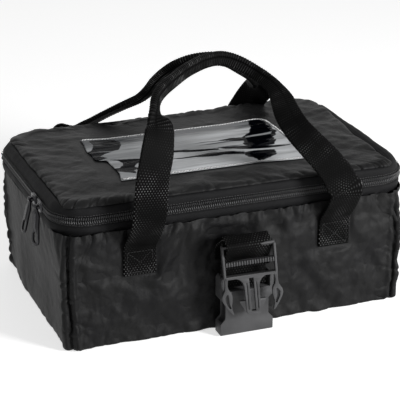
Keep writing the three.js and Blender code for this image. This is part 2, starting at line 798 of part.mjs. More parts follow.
function femaleHalf() {
  const half = femaleWidth / 2;
  const waist = waistWidth / 2;
  const rimTop = femaleBottomZ + mouthRimHeight;
  const slope = (femaleWidth - waistWidth) / 2;
  const outer = new THREE.Shape();
  outer.moveTo(buckleX - half, femaleBottomZ);
  outer.lineTo(buckleX + half, femaleBottomZ);
  outer.lineTo(buckleX + half, rimTop);
  outer.lineTo(buckleX + waist, rimTop + slope);
  outer.lineTo(buckleX + waist, waistTopZ - slope);
  outer.lineTo(buckleX + half, waistTopZ);
  outer.lineTo(buckleX + half, femaleTopZ);
  outer.lineTo(buckleX - half, femaleTopZ);
  outer.lineTo(buckleX - half, waistTopZ);
  outer.lineTo(buckleX - waist, waistTopZ - slope);
  outer.lineTo(buckleX - waist, rimTop + slope);
  outer.lineTo(buckleX - half, rimTop);
  outer.closePath();
  const body = plateXZ(outer, femaleFrontY, femaleBackY);
  const cavityTop = waistTopZ - femaleWall;
  const cavity = box(
    buckleX - half + femaleWall, buckleX + half - femaleWall,
    femaleFrontY + femaleWall, femaleBackY - femaleWall, femaleBottomZ - 1, cavityTop,
  );
  const strapHalf = buckleWebbing / 2 + clearance;
  const slotFloor = femaleTopZ - earSlotHeight;
  const slot = box(
    buckleX - strapHalf, buckleX + strapHalf,
    femaleFrontY - 1, femaleBackY + 1, slotFloor, femaleTopZ + 1,
  );
  const bar = box(
    buckleX - half + 0.5, buckleX + half - 0.5,
    femaleMidY - barHeight / 2, femaleMidY + barHeight / 2, earTopSlotZ - barHeight, earTopSlotZ,
  );
  return body.subtract(cavity).subtract(slot).add(bar);
}
add("female_buckle", "buckle", femaleHalf());

// Male half: frame with a toothed bar, two sprung arms and a slotted guide, hung a little outward
const maleFaceY = -(wallY + maleStandOff);
const maleHalfWidth = buckleWebbing / 2 + clearance + railWidth;

// Place of a point given across, down and out from the top of the male half's back face
function maleY(down, out) {
  const tilt = THREE.MathUtils.degToRad(maleTilt);
  return maleFaceY - out * Math.cos(tilt) - down * Math.sin(tilt);
}
function maleZ(down, out) {
  const tilt = THREE.MathUtils.degToRad(maleTilt);
  return maleTopZ - down * Math.cos(tilt) + out * Math.sin(tilt);
}

function maleHalf() {
  const inner = maleHalfWidth - railWidth;
  const crossTop = -frameLength + barHeight;
  const crossBottom = -frameLength - 1;
  const frame = [
    rectangle(-maleHalfWidth, -inner, crossBottom, 0),
    rectangle(inner, maleHalfWidth, crossBottom, 0),
    rectangle(-maleHalfWidth, maleHalfWidth, crossBottom, crossTop),
  ].map((shape) => plateXZ(shape, -maleThickness, 0));
  const topBar = plateXZ(
    rectangle(-maleHalfWidth, maleHalfWidth, -barHeight, 0), 1.5 * bladeInset - maleThickness, -bladeInset,
  );
  const toothedTop = -toothedBarDrop;
  const toothedBar = plateXZ(
    rectangle(-maleHalfWidth, maleHalfWidth, toothedTop - barHeight, toothedTop),
    -maleThickness, -toothedBarInset,
  );
  const pitch = (2 * inner) / toothCount;
  const teeth = Array.from({ length: toothCount }, (_, i) => {
    const x = -inner + (i + 0.25) * pitch;
    return plateXZ(
      rectangle(x, x + pitch / 2, toothedTop - barHeight + clearance, toothedTop - clearance),
      -maleThickness - toothDepth, -maleThickness + toothDepth / 2,
    );
  });
  const tip = -frameLength - prongLength;
  const barb = armWidth * 0.55;
  const arms = [-1, 1].map((side) => {
    const shape = new THREE.Shape();
    const out = maleHalfWidth - 0.4;
    const points = [
      [out, crossBottom + 1],
      [out - 0.8, tip + prongLength * 0.48],
      [out + barb, tip + prongLength * 0.4],
      [out + barb * 0.7, tip + prongLength * 0.22],
      [out - armWidth, tip],
      [out - armWidth * 1.4, tip + 1.5],
      [out - armWidth * 1.15, tip + prongLength * 0.4],
      [out - armWidth, crossBottom + 1],
    ];
    points.forEach(([x, z], i) => (i ? shape.lineTo(side * x, z) : shape.moveTo(side * x, z)));
    shape.closePath();
    return plateXZ(shape, bladeInset - maleThickness, -bladeInset);
  });
  const guide = new THREE.Shape();
  const web = guideWidth * 0.75;
  guide.moveTo(-guideWidth / 2 - web, crossBottom + 1);
  guide.quadraticCurveTo(-guideWidth / 2, crossBottom, -guideWidth / 2, crossBottom - web);
  guide.lineTo(-guideWidth / 2, tip + finHeight);
  guide.lineTo(-guideWidth / 2 - finReach, tip + finHeight - 1);
  guide.lineTo(-guideWidth / 2, tip + 1);
  guide.lineTo(-guideWidth / 2 + 1, tip);
  guide.lineTo(guideWidth / 2 - 1, tip);
  guide.lineTo(guideWidth / 2, tip + 1);
  guide.lineTo(guideWidth / 2 + finReach, tip + finHeight - 1);
  guide.lineTo(guideWidth / 2, tip + finHeight);
  guide.lineTo(guideWidth / 2, crossBottom - web);
  guide.quadraticCurveTo(guideWidth / 2, crossBottom, guideWidth / 2 + web, crossBottom + 1);
  guide.closePath();
  const slotHalf = guideSlotWidth / 2;
  guide.holes.push(rectangle(-slotHalf, slotHalf, tip + slotEndWall, crossBottom - slotEndWall));
  const guidePlate = plateXZ(guide, bladeInset - maleThickness, -bladeInset);
  return union([...frame, topBar, toothedBar, ...teeth, ...arms, guidePlate]);
}
const maleMesh = add("male_buckle", "buckle", maleHalf());
maleMesh.rotation.x = -THREE.MathUtils.degToRad(maleTilt);
maleMesh.position.set(buckleX, maleFaceY, maleTopZ);

const maleStrapRadius = femaleStrapRadius + buckleStrapThickness + clearance;
const overBar = maleThickness + buckleStrapThickness / 2 - 0.6;
const behindBar = 0.6 - buckleStrapThickness / 2;
const toothedMiddle = toothedBarDrop + barHeight / 2;
add("male_strap", "webbing", strapAcross(
  [
    roundFold(maleStrapRadius, strapStartAngle, strapStartAngle, 1)[0],
    [maleY(-strapLift, strapLift), maleZ(-strapLift, strapLift)],
    [maleY(-clearance, overBar), maleZ(-clearance, overBar)],
    [maleY(barHeight, overBar), maleZ(barHeight, overBar)],
    [maleY(toothedBarDrop - strapDip, barHeight), maleZ(toothedBarDrop - strapDip, barHeight)],
    [maleY(toothedMiddle, behindBar), maleZ(toothedMiddle, behindBar)],
    [maleY(frameLength - strapTailShort, behindBar), maleZ(frameLength - strapTailShort, behindBar)],
  ],
  buckleStrapThickness,
));

export default group;
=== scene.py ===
import math

import bmesh
import bpy
import numpy as np
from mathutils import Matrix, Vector, noise


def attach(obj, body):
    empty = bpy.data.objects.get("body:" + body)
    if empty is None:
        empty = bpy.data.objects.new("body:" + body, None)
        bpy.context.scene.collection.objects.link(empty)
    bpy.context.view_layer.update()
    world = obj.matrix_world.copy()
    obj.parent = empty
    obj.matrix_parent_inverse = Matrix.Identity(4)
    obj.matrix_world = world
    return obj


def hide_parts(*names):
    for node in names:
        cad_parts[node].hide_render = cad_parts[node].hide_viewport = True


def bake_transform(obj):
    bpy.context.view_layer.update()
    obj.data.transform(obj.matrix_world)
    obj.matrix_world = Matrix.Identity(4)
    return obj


# Soft insulated food bag, in metres, front towards -Y. Sizes in lists and dictionaries are in millimetres.
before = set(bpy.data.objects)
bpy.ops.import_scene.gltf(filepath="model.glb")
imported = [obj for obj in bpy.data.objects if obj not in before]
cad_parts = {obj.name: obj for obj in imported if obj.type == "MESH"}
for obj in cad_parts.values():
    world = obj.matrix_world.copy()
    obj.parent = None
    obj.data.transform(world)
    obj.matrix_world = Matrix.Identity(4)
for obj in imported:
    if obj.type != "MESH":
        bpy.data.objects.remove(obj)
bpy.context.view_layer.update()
mm = 0.001
print("frame loaded,", len(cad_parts), "nodes")

# camera of the photograph
view = {"azimuth": -20.65, "elevation": 22.4, "distance": 1396.11, "aimZ": 55.27,
        "focal": 1658.9, "frame": 400, "centreX": 198.6, "centreY": 219.22}


def makeCamera():
    turn, rise = math.radians(view["azimuth"]), math.radians(view["elevation"])
    back = Vector((math.sin(turn) * math.cos(rise), -math.cos(turn) * math.cos(rise), math.sin(rise)))
    data = bpy.data.cameras.new("photo_camera")
    data.sensor_width = 36
    data.lens = view["focal"] * 36 / view["frame"]
    data.shift_x = (view["frame"] / 2 - view["centreX"]) / view["frame"]
    data.shift_y = (view["centreY"] - view["frame"] / 2) / view["frame"]
    data.clip_start, data.clip_end = 0.05, 50
    camera = bpy.data.objects.new("photo_camera", data)
    bpy.context.scene.collection.objects.link(camera)
    camera.location = Vector((0, 0, view["aimZ"] * mm)) + back * view["distance"] * mm
    camera.rotation_mode = "QUATERNION"
    camera.rotation_quaternion = (-back).to_track_quat("-Z", "Y")
    bpy.context.scene.camera = camera


makeCamera()


# small helpers
def hexColour(code):
    values = [int(code[i:i + 2], 16) / 255 for i in (1, 3, 5)]
    return tuple(v / 12.92 if v <= 0.04045 else ((v + 0.055) / 1.055) ** 2.4 for v in values) + (1,)


def addNode(tree, kind, inputs=None, **settings):
    # inputs: name or number of a socket -> value, or the socket that feeds it
    node = tree.nodes.new(kind)
    for key, value in settings.items():
        setattr(node, key, value)
    for key, value in (inputs or {}).items():
        if isinstance(value, bpy.types.NodeSocket):
            tree.links.new(value, node.inputs[key])
        else:
            node.inputs[key].default_value = value
    return node


def newMaterial(name):
    material = bpy.data.materials.new(name)
    material.use_nodes = True
    tree = material.node_tree
    tree.nodes.clear()
    return material, tree


def pieceMaterial(name):
    # a new material, its node tree and the piece's own coordinates
    material, tree = newMaterial(name)
    return material, tree, addNode(tree, "ShaderNodeTexCoord").outputs["Object"]


def surface(material, tree, inputs):
    shader = addNode(tree, "ShaderNodeBsdfPrincipled", inputs)
    addNode(tree, "ShaderNodeOutputMaterial", {"Surface": shader.outputs[0]})
    return material


def compute(tree, operation, a, b=0.0, c=0.0):
    return addNode(tree, "ShaderNodeMath", {0: a, 1: b, 2: c}, operation=operation).outputs[0]


def mottled(tree, place, scale, detail, **more):
    inputs = {"Vector": place, "Scale": scale, "Detail": detail, **more}
    return addNode(tree, "ShaderNodeTexNoise", inputs).outputs["Fac"]


def remap(tree, value, toLow, toHigh, fromLow=0.0, fromHigh=1.0):
    return addNode(tree, "ShaderNodeMapRange", {
        "Value": value, "From Min": fromLow, "From Max": fromHigh, "To Min": toLow, "To Max": toHigh}).outputs[0]


def bumpFrom(tree, height, strength, distance):
    return addNode(tree, "ShaderNodeBump", {
        "Strength": strength, "Distance": distance, "Height": height}).outputs[0]


def ramp(tree, factor, stops):
    node = addNode(tree, "ShaderNodeValToRGB", {"Fac": factor})
    elements = node.color_ramp.elements
    while len(elements) < len(stops):
        elements.new(0.5)
    for element, (place, code) in zip(elements, stops):
        element.position = place
        element.color = hexColour(code)
    return node.outputs["Color"]


def deselectAll():
    if bpy.context.object and bpy.context.object.mode != "OBJECT":
        bpy.ops.object.mode_set(mode="OBJECT")
    bpy.ops.object.select_all(action="DESELECT")


def activate(piece):
    deselectAll()
    bpy.context.view_layer.objects.active = piece
    piece.select_set(True)


def editAll(piece):
    activate(piece)
    bpy.ops.object.mode_set(mode="EDIT")
    bpy.ops.mesh.select_all(action="SELECT")


def editFaces(piece, towards):
    # edit mode, with only those faces selected that look along a direction
    editAll(piece)
    bpy.ops.mesh.select_mode(type="FACE")
    bpy.ops.mesh.select_all(action="DESELECT")
    bm = bmesh.from_edit_mesh(piece.data)
    for face in bm.faces:
        face.select = face.normal.dot(Vector(towards)) > 0.9
    bmesh.update_edit_mesh(piece.data)


def endEdit(outwards=False):
    if outwards:
        bpy.ops.mesh.select_all(action="SELECT")
        bpy.ops.mesh.normals_make_consistent(inside=False)
    bpy.ops.object.mode_set(mode="OBJECT")


def applyModifiers(piece):
    activate(piece)
    for modifier in list(piece.modifiers):
        bpy.ops.object.modifier_apply(modifier=modifier.name)


def applyPlace(piece):
    activate(piece)
    bpy.ops.object.transform_apply(location=True, rotation=True, scale=True)


def smoothByAngle(piece, degrees=45):
    activate(piece)
    bpy.ops.object.shade_smooth_by_angle(angle=math.radians(degrees))


def meshPiece(name, points, faces, uvs=None):
    # points in millimetres; uvs are one pair for each point
    mesh = bpy.data.meshes.new(name)
    mesh.from_pydata((np.asarray(points, float) * mm).tolist(), [], [list(map(int, f)) for f in faces])
    mesh.update()
    if uvs is not None:
        layer = mesh.uv_layers.new(name="UVMap")
        index = np.zeros(len(mesh.loops), np.int32)
        mesh.loops.foreach_get("vertex_index", index)
        layer.data.foreach_set("uv", np.asarray(uvs, np.float32)[index].ravel())
    piece = bpy.data.objects.new(name, mesh)
    bpy.context.scene.collection.objects.link(piece)
    for polygon in mesh.polygons:
        polygon.use_smooth = True
    return piece


def faceOut(piece, weldBy=0.0):
    # turns all faces outwards, after merging what lies closer than a distance in millimetres
    bm = bmesh.new()
    bm.from_mesh(piece.data)
    if weldBy:
        bmesh.ops.remove_doubles(bm, verts=bm.verts, dist=weldBy * mm)
        bmesh.ops.dissolve_degenerate(bm, edges=bm.edges, dist=weldBy * mm / 10)
    bmesh.ops.recalc_face_normals(bm, faces=bm.faces)
    bm.to_mesh(piece.data)
    bm.free()
    for polygon in piece.data.polygons:
        polygon.use_smooth = True
    return piece


def gridFaces(rows, columns, closed=False):
    # quads between rows of points; a closed grid joins its last column to its first
    r, c = np.meshgrid(np.arange(rows - 1), np.arange(columns if closed else columns - 1), indexing="ij")
    c2 = (c + 1) % columns
    corners = [r * columns + c, r * columns + c2, (r + 1) * columns + c2, (r + 1) * columns + c]
    return np.stack(corners, -1).reshape(-1, 4)


def ringMesh(name, rings, weldBy):
    # rings that close at both ends by shrinking to a line
    rings = np.asarray(rings)
    return faceOut(meshPiece(name, rings.reshape(-1, 3), gridFaces(*rings.shape[:2], closed=True)), weldBy)


def tubeMesh(name, rings, uvs=None, weldBy=0.0):
    # rings along a path, with a face over each end
    count, size = rings.shape[:2]
    caps = [list(range(size))[::-1], list((count - 1) * size + np.arange(size))]
    faces = gridFaces(count, size, closed=True).tolist() + caps
    return faceOut(meshPiece(name, rings.reshape(-1, 3), faces, uvs), weldBy)


def setAttribute(piece, name, values):
    attribute = piece.data.attributes.new(name, "FLOAT", "POINT")
    attribute.data.foreach_set("value", values.astype(np.float32).ravel())


def dress(piece, material, body=None, replaces=()):
    piece.data.materials.clear()
    piece.data.materials.append(material)
    if replaces:
        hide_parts(*replaces)
    if body:
        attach(piece, body)
    return piece


def wobble(x, y, z=0.0):
    # smooth noise for arrays, about -1 to 1
    x, y, z = np.broadcast_arrays(np.asarray(x, float), np.asarray(y, float), np.asarray(z, float))
    flat = [noise.noise(Vector(p)) for p in zip(x.ravel(), y.ravel(), z.ravel())]
    return np.array(flat).reshape(x.shape) * 1.6


def smoothStep(value, low, high):
    t = np.clip((np.asarray(value, float) - low) / (high - low), 0, 1)
    return t * t * (3 - 2 * t)


def bell(distance, reach):
    return np.exp(-(distance / reach) ** 2)


def runLength(line):
    # distance from the start of a line of points to each of them
    return np.concatenate([[0], np.cumsum(np.linalg.norm(np.diff(line, axis=0), axis=1))])


def sampled(at, run, values):
    # the rows of values, known at the distances in run, at other distances
    return np.stack([np.interp(at, run, column) for column in np.asarray(values, float).T], 1)


def unit(vectors):
    return vectors / np.linalg.norm(vectors, axis=1)[:, None]


def headings(points):
    return unit(np.gradient(points, axis=0))


def atHeight(plan, z):
    return np.column_stack([plan, np.broadcast_to(z, len(plan))])


print("helpers ready")


# materials
# Coated nylon taffeta: black cloth with a soft satin sheen that lights its folds
def makeNylon():
    material, tree, place = pieceMaterial("coated_black_nylon")
    cloud = mottled(tree, place, 28, 4, Roughness=0.55)
    crinkle = mottled(tree, place, 210, 3, Roughness=0.5, Distortion=0.4)
    # threads are 0.25 mm apart; drawn at 0.6 mm so that they show at all
    threads = [addNode(tree, "ShaderNodeTexWave", {
        "Vector": place, "Scale": 830, "Distortion": 0.6, "Detail": 1, "Detail Scale": 0.5},
        bands_direction=way).outputs["Fac"] for way in ("Z", "DIAGONAL")]
    height = compute(tree, "MULTIPLY_ADD", compute(tree, "MULTIPLY", *threads), 0.12, crinkle)
    return surface(material, tree, {
        "Base Color": ramp(tree, cloud, [(0.3, "#0e0e0f"), (0.72, "#191919")]),
        "Roughness": remap(tree, cloud, 0.44, 0.56), "IOR": 1.5, "Specular IOR Level": 0.1,
        "Normal": bumpFrom(tree, height, 0.55, 0.0007)})


# Woven polypropylene webbing: near-black yarn, with painted highlights on its round tops
def makeWebbing():
    material, tree, place = pieceMaterial("woven_black_webbing")
    tops = addNode(tree, "ShaderNodeAttribute", attribute_name="weave").outputs["Fac"]
    patchy = compute(tree, "MULTIPLY_ADD", mottled(tree, place, 42, 4), 1.35, 0.2)
    # painted highlights: the ramp's light end lightens the tops of the weave and the grip's ribs, in patches, as
    # glints
    yarnToneAndPaintedGlints = [(0.2, "#010101"), (0.5, "#050505"), (0.72, "#242424"), (1.0, "#7a7a7a")]
    # filaments run along each yarn, 0.3 mm apart
    fibres = mottled(tree, place, 2400, 2)
    return surface(material, tree, {
        "Base Color": ramp(tree, compute(tree, "MULTIPLY", tops, patchy), yarnToneAndPaintedGlints), "Roughness": 0.6, "IOR": 1.49,
        "Specular IOR Level": 0.04, "Normal": bumpFrom(tree, fibres, 0.35, 0.0002)})


# Woven polyester zip tape: dull black with a fine cross rib
def makeTape():
    material, tree = newMaterial("woven_zip_tape")
    along = addNode(tree, "ShaderNodeUVMap", uv_map="UVMap").outputs[0]
    ribs = [addNode(tree, "ShaderNodeTexWave", {"Vector": along, "Scale": 0.42, "Distortion": 0.3},
                    bands_direction=way).outputs["Fac"] for way in ("Y", "X")]
    weave = compute(tree, "MULTIPLY", *ribs)
    return surface(material, tree, {
        "Base Color": ramp(tree, weave, [(0.0, "#0d0d0e"), (1.0, "#1e1e1f")]), "Roughness": 0.66,
        "Specular IOR Level": 0.08, "Normal": bumpFrom(tree, weave, 0.5, 0.0002)})


# Nylon coil: moulded monofilament, a dull gloss on each turn
def makeCoil():
    material, tree, place = pieceMaterial("nylon_zip_coil")
    return surface(material, tree, {
        "Base Color": ramp(tree, mottled(tree, place, 900, 2), [(0.3, "#262627"), (0.7, "#404041")]),
        "Roughness": 0.35, "IOR": 1.53, "Specular IOR Level": 0.3})


# Black enamel over cast zinc: deep gloss, with a thin painted highlight on its sharp edges
def makeSliderPaint():
    material, tree, place = pieceMaterial("black_enamelled_zinc")
    sharpness = addNode(tree, "ShaderNodeNewGeometry").outputs["Pointiness"]
    grain = mottled(tree, place, 600, 3)
    # the sharp edges are painted lighter, in grainy streaks, as a highlight
    paintedEdgeGlint = compute(tree, "MULTIPLY", remap(tree, sharpness, 0, 1, 0.52, 0.62), grain)
    return surface(material, tree, {
        "Base Color": ramp(tree, paintedEdgeGlint, [(0.1, "#232326"), (0.8, "#58585b")]), "Roughness": 0.25, "IOR": 1.5,
        "Specular IOR Level": 0.18, "Normal": bumpFrom(tree, grain, 0.12, 0.0003)})


# Moulded acetal: dark grey, satin, with the faint drag marks of its mould, and a painted highlight on its sharp
# edges
def makeAcetal():
    material, tree, place = pieceMaterial("moulded_grey_acetal")
    sharpness = addNode(tree, "ShaderNodeNewGeometry").outputs["Pointiness"]
    # sharp edges are painted lighter as a highlight
    edge = remap(tree, sharpness, 0, 1, 0.5, 0.6)
    tone = compute(tree, "MULTIPLY_ADD", edge, 0.5, mottled(tree, place, 60, 3))
    return surface(material, tree, {
        "Base Color": ramp(tree, tone, [(0.25, "#2a2a2b"), (0.95, "#464647")]), "Roughness": 0.45, "IOR": 1.48,
        "Specular IOR Level": 0.25, "Normal": bumpFrom(tree, mottled(tree, place, 2200, 2), 0.25, 0.0001)})


# Metallised film on foam: silvery, softly crumpled
def makeFoil():
    material, tree, place = pieceMaterial("metallised_lining_film")
    crumple = addNode(tree, "ShaderNodeTexVoronoi", {"Vector": place, "Scale": 95},
                      feature="SMOOTH_F1").outputs["Distance"]
    cloud = mottled(tree, place, 40, 4)
    height = compute(tree, "ADD", crumple, cloud)
    return surface(material, tree, {
        "Base Color": ramp(tree, cloud, [(0.25, "#9a9da1"), (0.75, "#c3c6ca")]), "Metallic": 0.75,
        "Roughness": 0.34, "Normal": bumpFrom(tree, height, 0.5, 0.0015)})


# Closed-cell polyethylene foam: matt white with fine cut cells
def makeFoam():
    material, tree, place = pieceMaterial("white_polyethylene_foam")
    cells = addNode(tree, "ShaderNodeTexVoronoi", {"Vector": place, "Scale": 800}).outputs["Distance"]
    return surface(material, tree, {
        "Base Color": ramp(tree, cells, [(0.0, "#d6d6d1"), (0.6, "#ecece8")]), "Roughness": 0.85,
        "Normal": bumpFrom(tree, cells, 0.4, 0.0004)})


# Spun polyester sewing thread, pale or black, and the folded vinyl edge under it
def makeThread(name, dark, light):
    material, tree, place = pieceMaterial(name)
    twist = mottled(tree, place, 1500, 2)
    return surface(material, tree, {
        "Base Color": ramp(tree, twist, [(0.3, dark), (0.7, light)]), "Roughness": 0.6,
        "Normal": bumpFrom(tree, twist, 0.3, 0.0001)})


# Clear soft vinyl over black cloth: glossy and slightly milky; its pale and dark patches are painted reflections,
# the dark ones also where it clings and lets the cloth show
def makeVinyl():
    material, tree, place = pieceMaterial("clear_soft_vinyl")
    clingAndPaintedReflection = addNode(tree, "ShaderNodeAttribute", attribute_name="clingAndPaintedReflection").outputs["Fac"]
    streak = addNode(tree, "ShaderNodeMapping", {"Vector": place, "Scale": (9, 120, 1)}).outputs[0]
    wisps = mottled(tree, streak, 1.0, 3, Distortion=0.6)
    tone = compute(tree, "ADD", clingAndPaintedReflection, remap(tree, wisps, -0.05, 0.05, 0.3, 0.7))
    # pale end: milky film with a painted reflection of a softbox; dark end: a painted dark reflection
    hazeAndPaintedReflection = [(0.0, "#c6c8ca"), (0.25, "#8c8e90"), (0.5, "#535558"), (0.8, "#04050a")]
    return surface(material, tree, {
        "Base Color": ramp(tree, tone, hazeAndPaintedReflection), "Roughness": remap(tree, wisps, 0.05, 0.14), "IOR": 1.52,
        "Alpha": remap(tree, clingAndPaintedReflection, 0.94, 0.88, 0.5, 0.85), "Specular IOR Level": 0.012,
        "Normal": bumpFrom(tree, wisps, 0.35, 0.0012)})


nylon = makeNylon()
webbing = makeWebbing()
tape = makeTape()
coil = makeCoil()
sliderPaint = makeSliderPaint()
acetal = makeAcetal()
foil = makeFoil()
foam = makeFoam()
paleThread = makeThread("pale_sewing_thread", "#b9b9b9", "#f0f0f0")
blackThread = makeThread("black_sewing_thread", "#121212", "#2c2c2c")
darkThread = makeThread("black_bar_tack_thread", "#060606", "#0f0f0f")
vinyl = makeVinyl()
hemVinyl = makeThread("folded_vinyl_hem", "#3e4042", "#606265")
print("materials ready")

# plan of the bag, as rings round it
bag = {"baseWidth": 280, "zipWidth": 298, "depth": 185, "zipHeight": 107.5, "baseRadius": 14, "zipRadius": 28,
       "lowerEdge": 2.4, "longSteps": 250, "shortSteps": 118, "cornerSteps": 26, "crowding": 0.45}
wallY = bag["depth"] / 2


def planAt(z):
    z = np.asarray(z, float)
    rise = np.minimum(z / bag["zipHeight"], 1)
    below = np.clip(bag["lowerEdge"] - z, 0, bag["lowerEdge"])
    inset = bag["lowerEdge"] - np.sqrt(bag["lowerEdge"] ** 2 - below ** 2)
    halfX = bag["baseWidth"] / 2 + (bag["zipWidth"] - bag["baseWidth"]) / 2 * rise - inset
    return halfX, wallY - inset, bag["baseRadius"] + (bag["zipRadius"] - bag["baseRadius"]) * rise


def ringPoints(halfX, halfY, radius, longSteps=None, shortSteps=None, cornerSteps=None, shiftY=0.0):
    # points and outward normals, anticlockwise, starting at the right end of the back right corner
    longSteps, shortSteps = longSteps or bag["longSteps"], shortSteps or bag["shortSteps"]
    cornerSteps = cornerSteps or bag["cornerSteps"]
    radii = np.broadcast_to(np.asarray(radius, float), 4)
    arcs, turns = [], []
    for corner in range(4):
        signX, signY = (1 if corner in (0, 3) else -1), (1 if corner < 2 else -1)
        angle = (corner + np.linspace(0, 1, cornerSteps + 1)) * math.pi / 2
        turns.append(np.stack([np.cos(angle), np.sin(angle)], 1))
        centre = np.array([signX * (halfX - radii[corner]), signY * (halfY - radii[corner]) + shiftY])
        arcs.append(centre + radii[corner] * turns[-1])
    points, normals = [], []
    for corner in range(4):
        steps = longSteps if corner in (0, 2) else shortSteps
        share = np.linspace(0, 1, steps + 1)[1:-1, None]
        # points stand closer together near the corners, where the seams are
        share = share - bag["crowding"] * np.sin(2 * math.pi * share) / (2 * math.pi)
        start, end = arcs[corner][-1], arcs[(corner + 1) % 4][0]
        points += [arcs[corner], start + (end - start) * share]
        normals += [turns[corner], np.repeat(turns[corner][-1:], steps - 1, 0)]
    return np.concatenate(points), np.concatenate(normals)


def ringStack(levels):
    # levels: (z, half x, half y, radius) -> arrays of places and of outward directions
    places, outs = [], []
    for z, halfX, halfY, radius in levels:
        p, n = ringPoints(halfX, halfY, radius)
        places.append(atHeight(p, z))
        outs.append(atHeight(n, 0))
    return np.array(places), np.array(outs)


meanRing = ringPoints(145, wallY, 20)[0]
ringStep = np.linalg.norm(np.roll(meanRing, -1, 0) - meanRing, axis=1)
ringAlong = np.concatenate([[0], np.cumsum(ringStep)[:-1]])
ringLength = ringStep.sum()
ringCount = len(meanRing)
cornerMiddle = [ringAlong[np.argmin(np.abs(meanRing - np.array([sx * 145, sy * wallY])).sum(1))]
                for sx, sy in ((1, 1), (-1, 1), (-1, -1), (1, -1))]


def aroundGap(along, place):
    # signed distance round the ring
    return (along - place + ringLength / 2) % ringLength - ringLength / 2


def foldSum(along, away, folds, total=None):
    # sharp folds that run away from a seam; each is place, depth, width, reach and slant
    field = np.zeros(np.broadcast(along, away).shape)
    for place, dip, wide, far, lean in folds:
        gap = along - place - lean * away
        if total:
            gap = (gap + total / 2) % total - total / 2
        spread = wide * (1 + away / far * 0.8)
        fade = np.exp(-away / far)
        bulge = 0.75 * bell(gap, 2.4 * spread) * (np.abs(gap) / spread) ** 0.5
        field += fade * dip * (bulge - 1.25 * np.exp(-np.abs(gap) / spread))
    return field


def gathers(along, away, seed, pitch=(9, 22), depth=(0.4, 1.5), width=(1.3, 3.2), reach=(5, 26), slant=0.35,
            length=None):
    rng = np.random.default_rng(seed)
    place, folds = 0.0, []
    while place < (length or ringLength) - pitch[0] / 2:
        dip, wide = rng.uniform(*depth), rng.uniform(*width)
        folds.append((place, dip, wide, rng.uniform(*reach), rng.uniform(-slant, slant)))
        place += rng.uniform(*pitch)
    return foldSum(along, away, folds, None if length else ringLength)


# body shell: one sewn skin of nylon over the foam boards
shell = {"bottom": 0.35, "top": 96.0, "wall": 0.45, "cornerLow": 5.0, "cornerHigh": 20,
         "least": -0.75, "pressed": -2.2, "most": 5.6, "ridge": 1.7, "ridgePlace": 3.6, "ridgeWide": 2.3,
         "slit": 2.8, "slitWide": 0.85, "seamLean": 4.6, "seamShift": 4.5,
         "lipTop": 95.2, "footTop": 1.5, "roll": 0.8}
# tucks beside the front left seam: height, depth, width, reach and slant, on its left and on its right
leftTucks = [(82, 1.2, 1.4, 7, -0.5), (58, 2.4, 1.3, 10, 0.15), (46, 1.6, 1.5, 7, -0.6), (31, 1.5, 1.5, 7, 0.4),
             (18, 1.4, 1.6, 8, -0.3)]
rightTucks = [(86, 1.7, 1.4, 8, -0.8), (77, 1.5, 1.5, 7, 0.3), (68, 2.6, 1.7, 13, -0.95), (59, 1.4, 1.3, 8, 0.4),
              (46, 2.3, 1.5, 9, -0.7), (39, 1.8, 1.4, 8, 0.5), (26, 2.0, 1.4, 9, -0.6), (12, 1.5, 1.6, 8, 0.3)]
cornerDents = [(147, -88, 15), (-147, 88, 16)]  # x, y and reach
sewnEnds = [(-1, -84), (-1, 81), (1, -82), (1, 82)]  # of the handles: front or back, and x
# broad folds of the front: x, z, half length, half width, angle in degrees and height
frontFolds = [
    (-64, 63, 13, 4.2, 60, 1.9), (-55, 57, 12, 5, 60, -1.5), (-47.5, 78, 20, 4.5, 90, -1.9),
    (-39, 82, 16, 5, 90, 1.1), (-56, 86, 9, 4, 90, 1.0), (-117, 60, 18, 4, 0, -1.8), (-124, 70, 14, 4, -25, 1.7),
    (-112, 52, 15, 5, -10, 1.3), (-117, 38, 21, 5, 0, -1.7), (-60, 34, 34, 9, 5, 1.7), (14, 87, 9, 4, 90, 1.5),
    (29.5, 84, 7, 5, 90, -2.2), (55, 82, 6, 4, 80, -1.5), (-1, 78, 6, 6, 0, -1.6), (44, 70, 16, 7, 10, 1.3),
    (52, 13, 20, 7, 0, -1.2), (58, 47, 22, 9, 0, 1.4), (110, 62, 15, 6, -20, 1.2), (116, 40, 20, 6, 10, -1.2),
    (-96, 20, 20, 6, 8, 1.1)]


def shellCorner(z):
    return shell["cornerLow"] + (shell["cornerHigh"] - shell["cornerLow"]) * smoothStep(z, 60, 98)


